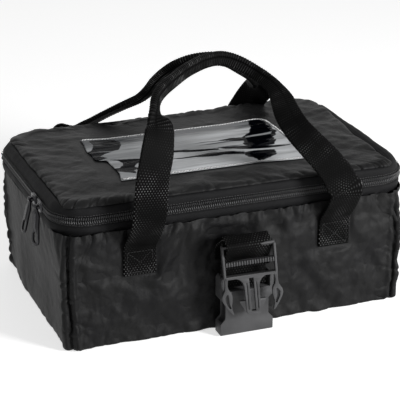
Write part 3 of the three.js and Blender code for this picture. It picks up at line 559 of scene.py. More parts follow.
def makeShell():
    z = np.concatenate([np.linspace(shell["bottom"], 7, 8), np.linspace(8.2, 86, 60),
                        np.linspace(86.9, shell["top"], 13)])
    rows = []
    for level in z:
        halfX, halfY, _ = planAt(level)
        rows.append((level, float(halfX), float(halfY), shellCorner(level)))
    place, out = ringStack(rows)
    along = np.broadcast_to(ringAlong, place.shape[:2])
    height = place[:, :, 2]
    fromTop = np.maximum(shell["lipTop"] - height, 0)
    fromBottom = np.maximum(height - shell["footTop"], 0)
    x, y = place[:, :, 0], place[:, :, 1]
    long = np.abs(out[:, :, 1]) ** 2  # 1 on the front and back, 0 on the sides
    pleats = gathers(along, fromTop, 3, pitch=(4.5, 13), reach=(3, 11), depth=(0.4, 1.7), width=(0.8, 2.2))
    drapes = gathers(along, fromTop, 4, pitch=(20, 46), reach=(14, 34), depth=(0.6, 1.8), width=(3, 6),
                     slant=0.5)
    front = smoothStep(-out[:, :, 1], 0.5, 0.9)
    push = 0.75 + 0.75 * long + (0.35 + 0.65 * long) * pleats + (0.15 + 0.85 * long) * drapes
    push += bell(height - 90, 5) * long
    push += 0.6 * gathers(along, fromBottom, 5, pitch=(12, 30), reach=(4, 14), depth=(0.4, 1.4))
    for foldX, foldZ, reach, wide, angle, high in frontFolds:
        c, d = math.cos(math.radians(angle)), math.sin(math.radians(angle))
        u, v = (x - foldX) * c + (height - foldZ) * d, (height - foldZ) * c - (x - foldX) * d
        push += high * front * np.exp(-(u / reach) ** 2 - (v / wide) ** 2)
    # soft standing folds and hollows of a skin a little too large for its foam
    push += (0.6 + 0.5 * long) * wobble(x / 42, y / 42, height / 46 + 3)
    push += 1.3 * long * wobble((x + 0.7 * height) / 15, y / 15, (height - 0.5 * x) / 34 + 9)
    push += (0.15 + 0.6 * long) * wobble((x - height) / 9, y / 9, (height + x) / 13 + 2)
    push += (0.05 + 0.16 * long) * wobble(x / 3.6, y / 3.6, height / 4.2 + 2)
    # the left side stands out towards the front of its foot, and in towards the back
    left = smoothStep(-out[:, :, 0], 0.4, 0.9)
    push += 3.3 * left * smoothStep(-y, -80, -30) * (1 - smoothStep(height, 4, 52))
    push -= 1.5 * left * smoothStep(y, 30, 80) * smoothStep(height, 12, 40)
    # the right side is pressed in above its foot
    push -= ((1.6 + 1.6 * smoothStep(height, 80, 90)) * smoothStep(out[:, :, 0], 0.3, 0.8)
             * smoothStep(height, 30, 45))
    for cornerX, cornerY, reach in cornerDents:
        push -= 1.9 * bell(np.hypot(x - cornerX, y - cornerY), reach) * smoothStep(height, 50, 66)
    # the front right corner is pressed in over its foot
    push -= 2.6 * bell(np.hypot(x - 142, y + 92), 17) * bell(height - 43, 19)
    towards = (-1, 1, 1, -1)  # the seams lean towards the front and back faces as they rise
    frontLeft, frontRight = 2, 3
    steps = np.linalg.norm(np.roll(place[:, :, :2], -1, 1) - place[:, :, :2], axis=2)
    run = np.cumsum(steps, 1) - steps
    for number, middle in enumerate(cornerMiddle):
        start = run[:, [np.argmin(np.abs(ringAlong - middle))]]
        start = start - (shell["seamShift"] if number == frontRight else 0)
        lean = shell["seamLean"] * (height / 95) ** 1.2 * towards[number]
        sway = 0.5 * wobble(number * 3.1, height / 16, 7.5) + 0.25 * wobble(number * 2.2, height / 5, 1.5)
        whole = run[:, -1:] + steps[:, -1:]
        gap = (run - start + whole / 2) % whole - whole / 2 - lean - sway
        side = np.abs(gap)
        tucks = [gathers(height, side, seed + number, pitch=(7, pitch), depth=(0.7, depth), width=(0.8, width),
                         reach=(4, reach), slant=0.6, length=95)
                 for seed, pitch, depth, width, reach in ((11, 19, 2.0, 2.2, 15), (21, 17, 2.1, 2.4, 19))]
        if number == frontLeft:
            tucks = [foldSum(height, side, folds) for folds in (leftTucks, rightTucks)]
        push += np.where(gap < 0, *tucks)
        # the two cloth edges swell up beside the seam and dive into its slit
        swell = 1 + 0.45 * wobble(number * 5.1 + np.sign(gap) * 2, height / 8.0, 4.5)
        ridge = shell["ridge"] * {frontLeft: 1.25, frontRight: 0.7}.get(number, 1) * swell
        push += ridge * bell(side - shell["ridgePlace"], shell["ridgeWide"])
        push -= shell["slit"] * bell(side, shell["slitWide"])
        push += np.exp(-side / 16) * 0.9 * wobble(number * 7.3, height / 21.0, 0.5)
    # a shallow dent where each sewn strap end pulls the cloth in
    for middle in (-82, 82):
        push -= 0.7 * (np.exp(-((np.abs(x - middle) - 15) / 6) ** 2 - ((height - 64) / 22) ** 2) * long)
    # the skin can be pressed in further at the corners than over the boards, and hardly at the lip
    limit = np.where(np.abs(np.abs(x) - 140) < 12, shell["pressed"], shell["least"])
    limit = np.maximum(limit, shell["pressed"] + 1.95 * smoothStep(height, 90, 94))
    push = np.clip(push, limit, shell["most"])
    # it lies flat behind the sewn ends of the straps
    for sign, middle in sewnEnds:
        flat = smoothStep(np.abs(x - middle), 18, 14) * smoothStep(height, 51, 56) * smoothStep(height, 88, 82)
        flat = flat * long * (np.sign(y) == sign)
        push = push * (1 - flat) + 0.1 * flat
    # the sewn lip is drawn down in notches where the folds run into it
    notch = np.clip(np.clip(-pleats, -0.4, 1.6) + 0.35 * wobble(along / 6, 0.5, 3.1), -0.6, 1.1)
    place[:, :, 2] -= 1.1 * notch * smoothStep(height, 84, 95.5) * (0.4 + 0.6 * long)
    outer = place + out * push[:, :, None]
    lip = place[-1:] + out[-1:] * (push[-1:, :, None] - 0.3) + np.array([0, 0, 0.3])
    # lower edge rolls under
    inner = place[::9] + out[::9] * (push[::9, :, None] - shell["wall"] - 0.02)
    inner = np.concatenate([inner, (place[-1:] + out[-1:] * (push[-1:, :, None] - shell["wall"] - 0.06))])
    inner[:, :, 2] = np.maximum(inner[:, :, 2], shell["roll"])
    # underside: rings that shrink to the middle line
    under, underIn = [], []
    halfX, halfY, _ = planAt(shell["bottom"])
    for share in np.linspace(0.03, 1, 12) ** 0.8:
        shrink = share * float(halfY)
        ring = ringPoints(max(float(halfX) - shrink, 0.01), max(float(halfY) - shrink, 0.0),
                          max(shell["cornerLow"] * (1 - share), 0.0))[0]
        under.append(atHeight(ring, 0.05))
        underIn.append(atHeight(ring * 0.999, 0.85))
    under, underIn = np.array(under)[::-1], np.array(underIn)
    return ringMesh("bag_shell", np.concatenate([under, outer, lip, inner[::-1], underIn]), 0.004)


bagShell = dress(makeShell(), nylon, "bag",
                 ["front_panel", "back_panel", "left_panel", "right_panel", "base_panel"])
print("body shell", len(bagShell.data.polygons), "faces")

# lid top: a second skin with a rounded, gathered rim, sewn well inside the edge at the sides
lidTop = {"halfX": 140.0, "halfY": 91.2, "shiftY": 0.4, "radii": (24.0, 24.0, 9.0, 9.0), "leanFrom": 109.8,
          "seamZ": 117.6, "crownZ": 120.6, "crown": 0.75, "lowest": 117.9, "wall": 0.6}
# cross-section of the rim: height over the seam, and how far inside it
rimCurve = [(0.1, 1.5), (-0.2, 0.7), (0.0, -0.15), (0.6, -0.75), (1.4, -0.75), (2.15, -0.1), (2.75, 1.0),
            (3.1, 2.4), (3.3, 4.2), (3.4, 6.2), (3.4, 8.4)]
# the part of the lid that the document window keeps flat, and the width over which that fades
windowArea = {"left": -94, "right": 78, "front": -57, "back": 48, "fade": 8.0}


def leanShare(z):
    # 0 at the zip, 1 at the lid's seam
    return np.clip((np.asarray(z, float) - lidTop["leanFrom"]) / (lidTop["seamZ"] - lidTop["leanFrom"]), 0, 1)


def seamWarp(places):
    # the right edge of the lid's cloth is sewn further in towards the front
    places = places.copy()
    x, y = places[..., 0], places[..., 1]
    places[..., 0] = x - 6.5 * smoothStep(x, 96, 140) * (1 - smoothStep(y, -30, 70))
    return places


def lidSag(x, y):
    # the soft lid hangs down in its middle, and along its back from the left to past the middle
    sag = 3.5 * smoothStep(y, 8, 62) * (1 - smoothStep(x, 34, 104)) * smoothStep(x, -150, -128)
    sag *= 1 - 0.55 * smoothStep(-x, 62, 88) * (1 - smoothStep(y, 50, 78))
    return sag + 1.5 * smoothStep(np.abs(y + 56), 26, 6) * smoothStep(x, 30, 66) * (1 - smoothStep(x, 96, 128))


def lidSurface(x, y):
    # crowned height of the lid's cloth at a place, without its gathers
    inward = np.minimum(wallY - np.abs(y), 149 - np.abs(x))
    return lidTop["crownZ"] + lidTop["crown"] * smoothStep(inward, 6, 40) - lidSag(x, y)


def windowMask(x, y):
    # 1 over the document window, falling to 0 round it
    left, right, front, back, fade = windowArea.values()
    sides = smoothStep(x, left - fade, left) * (1 - smoothStep(x, right, right + fade))
    return sides * smoothStep(y, front - fade, front) * (1 - smoothStep(y, back, back + fade))


def makeLidTop():
    halfX, halfY = lidTop["halfX"], lidTop["halfY"]
    inward = np.concatenate([[o for _, o in rimCurve], np.linspace(10.0, halfY, 56)])
    places, outs = [], []
    for step, inset in enumerate(inward):
        z = lidTop["seamZ"] + rimCurve[step][0] if step < len(rimCurve) else 120.85
        shrink = 1 - max(inset, 0) / halfY
        ring, out = ringPoints(halfX - inset, max(halfY - inset, 0.0), np.array(lidTop["radii"]) * shrink,
                               shiftY=lidTop["shiftY"] * shrink)
        places.append(atHeight(seamWarp(ring), z))
        outs.append(atHeight(out, 0))
    place, out = np.array(places), np.array(outs)
    x, y = place[:, :, 0], place[:, :, 1]
    top = np.array([step >= len(rimCurve) for step in range(len(inward))])[:, None]
    # over the sagging back the rim lies nearly flat
    rim = lidTop["seamZ"] + (place[:, :, 2] - lidTop["seamZ"]) * np.clip(1 - lidSag(x, y) / 4.4, 0.12, 1)
    place[:, :, 2] = np.where(top, lidSurface(x, y) + 0.15, np.maximum(rim, lidTop["seamZ"] + 0.1))
    along = np.broadcast_to(ringAlong, place.shape[:2])
    away = np.broadcast_to(np.maximum(inward[:, None], 0), place.shape[:2])
    # folds that follow the rim fade where the rings crowd at the corners
    corner = sum(bell(aroundGap(along, middle), 26) for middle in cornerMiddle)
    spread = 1 - np.clip(corner, 0, 1) * smoothStep(away, 3, 16)
    front, back = smoothStep(-y, 60, 84), smoothStep(y, 52, 84)
    pucker = gathers(along, away, 41, pitch=(6, 17), depth=(0.5, 2.2), width=(0.8, 2.2), reach=(2.2, 6),
                     slant=0.25)
    deep = gathers(along, away, 43, pitch=(16, 38), depth=(0.9, 2.8), width=(2.2, 4.2), reach=(3, 7), slant=0.3)
    wide = gathers(along, away, 42, pitch=(24, 48), depth=(0.5, 1.5), width=(4, 8), reach=(18, 40), slant=0.7)
    lift = spread * (pucker + (0.2 + 0.8 * front) * deep + 0.15 * wide)
    lift += back * wobble(x / 13, 0.5, 2.2)
    lift += 1.8 * wobble(x / 34, y / 22, 1.7) + 0.5 * wobble((x + y) / 14, (x - y) / 44, 5.2)
    lift += smoothStep(x, 82, 100) * 0.6 * wobble((x + 1.2 * y) / 44, (y - 0.35 * x) / 8.5, 6.1)
    lift += 0.3 * wobble(x / 7, y / 7, 7.7) + 0.1 * wobble(x / 3, y / 3, 1.2)
    lift *= 1 - 0.88 * windowMask(x, y)
    lift = np.where(top, np.maximum(lift, lidTop["lowest"] - lidSurface(x, y)), lift)
    rimShare = smoothStep(inward, -0.8, 3.0)[:, None]
    place[:, :, 2] += rimShare * np.clip(lift, -2.0, 2.4)
    sideways = (1 - rimShare) * np.clip(0.55 * lift, -1.0, 0.9)
    place += out * sideways[:, :, None] * smoothStep(place[:, :, 2], 117.4, 118.2)[:, :, None]
    under = place[2::8] + np.array([0, 0, -lidTop["wall"]])
    under = under - out[2::8] * 0.9 * (1 - rimShare[2::8, :, None])
    last = place[-1:] + np.array([0, 0, -lidTop["wall"]])
    return ringMesh("lid_top", np.concatenate([place[::-1], under, last]), 0.004)


lidSkin = dress(makeLidTop(), nylon, "lid", ["lid_panel"])
print("lid top", len(lidSkin.data.polygons), "faces")


# closed sweeps along a path
def sweep(name, centres, frames, sections, uvs=None):
    # frames: two directions for each ring; sections: points of the cross-section for each ring, in millimetres
    first, second = frames
    rings = centres[:, None] + sections[..., :1] * first[:, None] + sections[..., 1:2] * second[:, None]
    return tubeMesh(name, rings, uvs)


def uprightSweep(name, places, across, section):
    # one cross-section for all rings, with its second direction upwards
    count = len(places)
    frames = atHeight(across, 0), np.tile([0, 0, 1.0], (count, 1))
    return sweep(name, places, frames, np.tile(section, (count, 1, 1)))


def openRing(halfX, halfY, radius, shiftY=0.0):
    # plan line from the right end of the zip round the front to its left end, and the distance along it
    front = -(halfY - radius) + shiftY
    line = [(halfX, y) for y in np.linspace(zipper["endY"], front, 60)]
    for corner, cx in enumerate((halfX - radius, -(halfX - radius))):
        for angle in np.linspace(0, -math.pi / 2, 40)[1:]:
            turn = angle - corner * math.pi / 2
            line.append((cx + radius * math.cos(turn), front + radius * math.sin(turn)))
        if corner == 0:
            line += [(x, front - radius) for x in np.linspace(cx, -cx, 60)[1:]]
    line += [(-halfX, y) for y in np.linspace(front, zipper["endY"], 60)[1:]]
    line = np.array(line)
    return line, runLength(line)


def zipPath(offset, step, start=0.0):
    # places at zip height from the right end of the zip round the front to the left end
    fine, run = openRing(*(float(v) + offset for v in planAt(bag["zipHeight"])))
    count = int((run[-1] - start) / step)
    wanted = start + np.arange(count + 1) * (run[-1] - start) / count
    places = sampled(wanted, run, fine)
    tangent = headings(places)
    outward = np.stack([-tangent[:, 1], tangent[:, 0]], 1)
    if outward[0, 0] < 0:
        outward = -outward
    return wanted, places, tangent, outward


def lidSeamBeside(along):
    # the places on the lid's seam that lie beside places along the zip
    fine, run = openRing(lidTop["halfX"], lidTop["halfY"], lidTop["radii"][2], lidTop["shiftY"])
    return seamWarp(sampled(along / along[-1] * run[-1], run, fine))


# zip: tapes, coils, stitches and stops
zipper = {"endY": 70.0, "tapeOuter": -0.4, "tapeThick": 0.45, "tapeStep": 1.3, "toothPitch": 1.75,
          "toothWide": 0.5, "coilLow": (104.8, 107.45), "coilHigh": (110.2, 107.55), "stitchPitch": 2.3,
          "stitchFill": 0.72, "stitchJitter": 0.1, "stitchRadius": 0.27, "stitchSeed": 5,
          "weltZ": 102.4, "weltOffset": -0.25, "weltRadius": 0.5, "weltSides": 8, "weltStep": 1.2}
# cross-sections of the tapes: height, and how far each stands out beyond the tape's line
lowerTape = [(94.4, -0.4), (95.4, -0.4), (96.3, -0.2), (97.4, 0.25), (98.8, 0.55), (100.4, 0.6), (102, 0.4),
             (103.6, 0.1), (104.9, -0.1), (106.0, -0.35), (107.3, -0.4)]
upperTape = [(107.7, -0.4), (109.0, -0.35), (110.2, 0.05), (111.3, 0.45), (112.4, 0.75), (113.5, 0.95),
             (114.6, 1.0), (115.6, 0.95), (116.5, 0.7), (117.2, 0.3), (117.75, -0.2), (117.95, -0.8)]


def makeTapeBand(name, profile, seed, leans):
    along, place, _, outward = zipPath(zipper["tapeOuter"], zipper["tapeStep"])
    height, stand = np.array(profile).T
    seam = lidSeamBeside(along) if leans else place
    share = leanShare(height) if leans else 0 * height
    inset = ((place - seam) * outward).sum(1)
    ruffle = 0.3 * wobble(along[:, None] / 17, height[None] / 7, seed)
    ruffle += 0.1 * wobble(along[:, None] / 5, 3, seed)
    # a wide slanting tape bows further than an upright one
    wide = np.maximum(inset, 0)[:, None]
    bow = stand[None] * (1 + 0.09 * wide + 0.012 * wide ** 2) + ruffle * smoothStep(stand, -0.3, 0.5)[None]
    bow *= 1 + (0.22 if leans else 0) * smoothStep(place[:, :1], 120, 146)
    slope = np.arctan2(np.maximum(inset, 0), lidTop["seamZ"] - lidTop["leanFrom"])[:, None] * (share > 0)
    centre = place[:, None] + (seam - place)[:, None] * share[None, :, None]
    rings = []
    for depth in (0.0, zipper["tapeThick"]):
        reach = bow - depth
        flat = centre + outward[:, None] * (reach * np.cos(slope))[..., None]
        rings.append(np.concatenate([flat, (height[None] + reach * np.sin(slope))[..., None]], 2))
    rings = np.concatenate([rings[0], rings[1][:, ::-1]], 1)
    uvs = np.zeros(rings.shape[:2] + (2,))
    uvs[:, :, 0] = along[:, None]
    uvs[:, :, 1] = np.concatenate([height, height[::-1]])[None]
    return tubeMesh(name, rings, uvs.reshape(-1, 2))


def capsuleShape():
    # a small rod of six sides: which end, how far past it, and two offsets across
    sides = 6
    rise, narrow = math.sin(math.pi / 4), math.cos(math.pi / 4)
    rows = [(-1, -rise, narrow), (-1, 0.0, 1.0), (1, 0.0, 1.0), (1, rise, narrow)]
    turn = np.arange(sides) * 2 * math.pi / sides
    points = [(half, past, radius * math.cos(a), radius * math.sin(a))
              for half, past, radius in rows for a in turn]
    caps = [list(range(sides))[::-1], list(range(len(points) - sides, len(points)))]
    return np.array(points), gridFaces(len(rows), sides, closed=True).tolist() + caps


def capsules(name, starts, ends, radii, flat=None):
    # a small rounded rod for each start and end; flat squeezes it along a direction: (direction array, factor)
    shape, shapeFaces = capsuleShape()
    starts, ends = np.asarray(starts, float), np.asarray(ends, float)
    radii = np.broadcast_to(radii, len(starts))
    axis = ends - starts
    length = np.linalg.norm(axis, axis=1)
    axis = axis / length[:, None]
    if flat is None:
        helper = np.where(np.abs(axis[:, 2:3]) < 0.8, np.array([[0, 0, 1.0]]), np.array([[1.0, 0, 0]]))
        press, factor = np.cross(axis, helper), 1.0
    else:
        press, factor = flat
    press = unit(press - (press * axis).sum(1)[:, None] * axis)
    third = np.cross(axis, press)
    middle = (starts + ends) / 2
    half = np.maximum(length / 2 - radii, length * 0.1)
    points = (middle[:, None] + axis[:, None] * (shape[None, :, :1] * half[:, None, None]
                                                 + shape[None, :, 1:2] * radii[:, None, None])
              + press[:, None] * (shape[None, :, 2:3] * radii[:, None, None] * factor)
              + third[:, None] * (shape[None, :, 3:4] * radii[:, None, None]))
    size = len(shape)
    faces = []
    for i in range(len(starts)):
        faces += [[i * size + v for v in f] for f in shapeFaces]
    return faceOut(meshPiece(name, points.reshape(-1, 3), faces))


def makeCoilTeeth(name, ends, shift):
    # each turn leans along the zip, and dips where it meets the other half
    tapeSide, middle = ends
    _, place, tangent, outward = zipPath(0.0, zipper["toothPitch"], shift)
    start = atHeight(place + outward * 0.75 - tangent * 0.3, tapeSide)
    end = atHeight(place - outward * 0.25 + tangent * 0.3, middle)
    return capsules(name, start, end, zipper["toothWide"], (atHeight(outward, 0), 1.2))


def makeWelt():
    _, place, _, outward = zipPath(zipper["weltOffset"], zipper["weltStep"])
    turn = np.arange(zipper["weltSides"]) * 2 * math.pi / zipper["weltSides"]
    section = np.stack([np.cos(turn), np.sin(turn)], 1) * zipper["weltRadius"]
    return uprightSweep("welt_low", atHeight(place, zipper["weltZ"]), outward, section)


def makeStitchRow(name, height, offset):
    _, place, tangent, _ = zipPath(offset, zipper["stitchPitch"])
    shift = np.random.default_rng(zipper["stitchSeed"]).normal(0, zipper["stitchJitter"], len(place))
    reach = tangent * zipper["stitchPitch"] * zipper["stitchFill"] / 2
    start, end = atHeight(place - reach, height + shift), atHeight(place + reach, height + shift * 0.6)
    return capsules(name, start, end, zipper["stitchRadius"])


for name, profile, seed, body, node in (
        ("zip_tape_low", lowerTape, 3.1, "bag", "zip_tape_lower"),
        ("zip_tape_high", upperTape, 8.4, "lid", "zip_tape_upper")):
    dress(makeTapeBand(name, profile, seed, body == "lid"), tape, body, [node])
for name, ends, shift, body, node in (
        ("coil_low", zipper["coilLow"], 0.0, "bag", "zip_coil_lower"),
        ("coil_high", zipper["coilHigh"], zipper["toothPitch"] / 2, "lid", "zip_coil_upper")):
    dress(makeCoilTeeth(name, ends, shift), coil, body, [node])
for name, height, offset, body in (
        ("stitches_coil_low", 103.7, -0.1, "bag"), ("stitches_coil_high", 111.2, 0.05, "lid")):
    dress(makeStitchRow(name, height, offset), blackThread, body)
dress(makeWelt(), tape, "bag")
print("zip ready")


# fabric hinge across the back, and round both back corners to the ends of the zip
def makeHinge():
    halfX, halfY, radius = (float(v) for v in planAt(bag["zipHeight"]))
    ring, out = ringPoints(halfX - 0.4, halfY - 0.4, radius)
    seam = seamWarp(ringPoints(lidTop["halfX"], lidTop["halfY"], lidTop["radii"], shiftY=lidTop["shiftY"])[0])
    keep = [i for i in range(ringCount) if ring[i, 1] > 70.2]
    # the ring starts inside the wanted stretch, so its order is turned to run from right to left
    start = next(k for k in keep if (k - 1) % ringCount not in set(keep))
    order = [(start + i) % ringCount for i in range(len(keep))]
    ring, out, along, seam = ring[order], out[order], ringAlong[order], seam[order]
    height = np.linspace(94.6, 117.75, 34)
    share = (height - height[0]) / (height[-1] - height[0])
    lean = leanShare(height)
    a, h = np.meshgrid(along, height, indexing="ij")
    lowFold = gathers(a, np.abs(h - 96.3), 61, pitch=(6, 15), depth=(0.5, 1.6), reach=(3, 9))
    highFold = gathers(a, np.abs(117.2 - h), 62, pitch=(6, 15), depth=(0.5, 1.7), reach=(3, 9))
    push = 0.1 + 1.5 * np.sin(share * math.pi)[None] + lowFold + highFold + 0.5 * wobble(a / 12, h / 8, 2.2)
    edge = np.minimum(np.arange(len(order)), np.arange(len(order))[::-1])[:, None]
    ends = smoothStep(share, 0, 0.1) * (1 - smoothStep(share, 0.9, 1))
    push = np.clip(push, -0.1, 2.6) * smoothStep(edge, -1, 6) * ends[None] - 0.35 * (1 - ends)[None]
    centre = ring[:, None] + (seam - ring)[:, None] * lean[None, :, None]
    outer, inner = (np.concatenate([centre + out[:, None] * (push[..., None] - depth), h[..., None]], 2)
                    for depth in (0.0, 0.45))
    return tubeMesh("hinge_fabric", np.concatenate([outer, inner[:, ::-1]], 1), weldBy=0.002)


hinge = dress(makeHinge(), nylon, None, ["hinge_gusset_lower", "hinge_gusset_upper"])
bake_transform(hinge)
print("hinge fabric ready")

# carry handles: woven webbing, folded and ribbed where the hand holds it
handle = {"width": 26.6, "thick": 1.9, "gripWidth": 11.5, "gripThick": 4.6, "halfSpan": 82.0, "standOff": 21.0,
          "sewnLow": 57.4, "sewnHigh": 79.3, "sewnY": 93.8, "ringStep": 0.47, "yarnAlong": 1.9, "yarnAcross": 2.35,
          "yarnLift": 0.2, "ribPitch": 2.2, "ribLift": 0.55, "splitZ": 95.0, "spanSteps": 60,
          "feet": {"front": (-2.0, -1.0), "back": (0.0, 0.0)}}


def throughStations(points):
    # centripetal Catmull-Rom curve through the points, and the share of each sample along the list
    points = np.asarray(points, float)
    before, after = 2 * points[0] - points[1], 2 * points[-1] - points[-2]
    allPoints = np.vstack([before, points, after])
    samples, shares = [], []
    for i in range(len(points) - 1):
        p0, p1, p2, p3 = allPoints[i:i + 4]
        d0, d1, d2 = (max(np.linalg.norm(b - a), 1e-6) ** 0.5 for a, b in ((p0, p1), (p1, p2), (p2, p3)))
        t1 = ((p1 - p0) / d0 - (p2 - p0) / (d0 + d1) + (p2 - p1) / d1) * d1
        t2 = ((p2 - p1) / d1 - (p3 - p1) / (d1 + d2) + (p3 - p2) / d2) * d1
        w = np.linspace(0, 1, handle["spanSteps"] + 1)[:, None]
        w = w if i == len(points) - 2 else w[:-1]
        bend, twist = -3 * p1 + 3 * p2 - 2 * t1 - t2, 2 * p1 - 2 * p2 + t1 + t2
        samples.append(p1 + t1 * w + bend * w ** 2 + twist * w ** 3)
        shares.append(i + w[:, 0])
    return np.vstack(samples), np.concatenate(shares)


def softened(values, reach):
    # running mean along the first axis, ends kept
    kernel = np.hanning(2 * reach + 3)[1:-1]
    kernel /= kernel.sum()
    padded = np.concatenate([np.repeat(values[:1], reach, 0), values, np.repeat(values[-1:], reach, 0)])
    return np.stack([np.convolve(padded[:, i], kernel, "valid") for i in range(values.shape[1])], 1)


def weaveHeight(u, v):
    # tops of a brick-laid weave, 0 to 1
    row = np.floor(v / handle["yarnAlong"])
    hump = np.sin(np.pi * (v / handle["yarnAlong"] - row)) ** 0.9
    across = 0.5 + 0.5 * np.cos(2 * np.pi * (u / handle["yarnAcross"] + 0.5 * (row % 2)))
    return hump * across


def webbingSections(halfWide, halfThick, fold, along, faceSteps, lift):
    # cross-sections (rings x points x 2), the weave on them and where each point is across the strap
    flat = np.linspace(1, -1, faceSteps)
    turn = np.linspace(math.pi / 2, -math.pi / 2, 7)[1:-1]
    edge = np.column_stack([np.cos(turn), np.sin(turn)])
    normal = np.vstack([np.tile([0, 1], (faceSteps, 1)), edge * [-1, 1],
                        np.tile([0, -1], (faceSteps, 1)), edge[::-1]])
    rows, heights, acrossAll = [], [], []
    for wide, thick, share, v in zip(halfWide, halfThick, fold, along):
        core = wide - thick
        section = np.vstack([
            np.column_stack([flat * core, np.full(faceSteps, thick)]),
            [-core, 0] + thick * edge * [-1, 1],
            np.column_stack([-flat * core, np.full(faceSteps, -thick)]),
            [core, 0] + thick * edge[::-1]])
        # a folded grip is the same yarns seen across: rib rings, with a groove where the two edges meet. The
        # heights set painted highlights on the tops and ribs, lowered in the groove as painted shade
        u = section[:, 0] * (1 + 1.27 * share)
        woven = weaveHeight(u, v)
        rib = (0.5 + 0.5 * math.cos(2 * math.pi * v / handle["ribPitch"])) * (0.8 + 0.2 * woven)
        groove = bell(section[:, 0] + 0.25 * wide, 0.7) * share
        height = (1 - share) * woven + share * rib
        move = (1 - share) * lift * woven + share * (handle["ribLift"] * rib - 0.5 * groove)
        rows.append(section + normal * move[:, None])
        heights.append(np.clip(height - 0.7 * groove, 0, 1))
        acrossAll.append(u)
    return np.array(rows), np.array(heights), np.array(acrossAll)


def webbingPath(stations, step, reach):
    # stations: place, facing, width, thickness, fold -> evenly spaced rings
    fine, share = throughStations([s[0] for s in stations])
    run = runLength(fine)
    wanted = np.linspace(0, run[-1], int(run[-1] / step) + 1)
    where, index = np.interp(wanted, run, share), np.arange(len(stations))
    facing = softened(sampled(where, index, [s[1] for s in stations]), reach)
    rest = softened(sampled(where, index, [s[2:] for s in stations]), reach)
    place = softened(sampled(wanted, run, fine), 3)
    tangent = headings(place)
    facing = unit(facing - (facing * tangent).sum(1)[:, None] * tangent)
    return {"along": wanted, "place": place, "facing": facing, "across": np.cross(facing, tangent),
            "wide": rest[:, 0] / 2, "thick": rest[:, 1] / 2, "fold": np.clip(rest[:, 2], 0, 1)}


def webbingPiece(name, path, first, last, faceSteps=41, lift=handle["yarnLift"]):
    place, facing, across, wide, thick, fold, along = (
        path[key][first:last + 1] for key in ("place", "facing", "across", "wide", "thick", "fold", "along"))
    sections, height, u = webbingSections(wide, thick, fold, along, faceSteps, lift)
    uvs = np.stack([u, np.broadcast_to(along[:, None], u.shape)], 2).reshape(-1, 2)
    piece = sweep(name, place, (across, facing), sections, uvs)
    # the weave heights carry the webbing's painted highlights and its painted groove shade
    setAttribute(piece, "weave", height)
    return piece


def legStations(x, sign, hingeZ, foot):
    # up from the sewn end to the bend over the zip; foot is how far the sewn end sits to one side
    h = handle
    rest = ((0, 1, 0), h["width"], h["thick"], 0)
    out, low = wallY + h["standOff"], h["sewnHigh"] + 0.3
    rows = [((x + foot, sign * h["sewnY"], z), *rest) for z in np.linspace(h["sewnLow"], h["sewnHigh"] - 3, 4)]
    for up, far in [(0.06, 0.06), (0.25, 0.3), (0.55, 0.68), (0.8, 0.92), (1, 1)]:
        y = sign * (h["sewnY"] + far * (out - h["sewnY"]))
        rows.append(((x + foot * (1 - up), y, low + up * (hingeZ - low)), *rest))
    return rows


def loopStations(rows):
    # x, y, z, the way the strap faces, and how far it is folded into a grip
    made = []
    for x, y, z, facing, fold in rows:
        wide = handle["width"] + (handle["gripWidth"] - handle["width"]) * fold
        thick = handle["thick"] + (handle["gripThick"] - handle["thick"]) * fold
        made.append(((x, y, z), facing, wide, thick, fold))
    return made


facingOut, facingView = (0, 1, 0), (0.33, 0.87, -0.38)
frontLoop = [
    (-79.5, -114, 142.5, facingOut, 0), (-74.2, -110, 162.2, facingOut, 0),
    (-69.6, -101.7, 178.5, (0.1, 1, 0), 0.3), (-70, -97, 184, (-0.1, 1, 0), 0.78),
    (-69, -90.5, 188.2, (-0.5, 1, 0), 1), (-65.6, -82, 192.2, (-0.5, 1, 0), 1),
    (-58.6, -72, 195.3, (-0.3, 1, 0), 1), (-41.2, -55, 198.7, facingOut, 1),
    (-21.5, -38, 201.1, facingOut, 1), (0.2, -24, 201.7, facingOut, 1), (15, -17.5, 199.3, facingOut, 1),
    (28, -17, 194, facingOut, 1), (40, -22, 186.6, facingOut, 1), (45.7, -33, 182.4, facingOut, 1),
    (47.7, -47, 178.9, facingView, 0.9), (46.7, -63, 174.7, facingView, 0.55),
    (45.1, -79, 168.1, facingView, 0.38), (47.7, -92, 159.6, facingView, 0.35),
    (56.3, -101, 148.5, facingView, 0.25), (65.8, -107.5, 137.1, facingView, 0.18),
    (73.6, -111.5, 126, (0.25, 1, -0.25), 0.08), (78.5, -113.2, 116.5, (0.1, 1, -0.1), 0)]
backLoop = [
    (-71.5, 109, 109.6, (0, 0.5, 1), 0.7), (-65.5, 105, 113.6, (0, 0.6, 1), 0.72),
    (-60.5, 101.5, 117, (-0.1, 0.65, 1), 0.72), (-51.3, 96, 123.4, (-0.1, 0.65, 1), 0.75),
    (-36.3, 88, 132.5, (0, 0.7, 1), 0.8), (-23.6, 80, 140.5, (0, 0.9, 0.8), 1),
    (-18.7, 72, 148.7, (0, 1, 0.4), 1), (-15.7, 62, 159.2, facingOut, 1), (-11.4, 50, 170, facingOut, 1),
    (-5.7, 38, 179, facingOut, 1), (4.6, 26, 186.2, facingOut, 1), (19, 18, 188.8, facingOut, 1),
    (30.7, 14, 187.2, facingOut, 1), (43.1, 17, 179.4, facingOut, 1), (59.8, 30, 167.2, facingOut, 1),
    (73.1, 45, 156.6, facingView, 0.55), (80.4, 62, 145, facingView, 0.05),
    (83.7, 82, 132.3, facingView, 0), (82.8, 97, 119.4, (0.3, 0.95, 0), 0)]


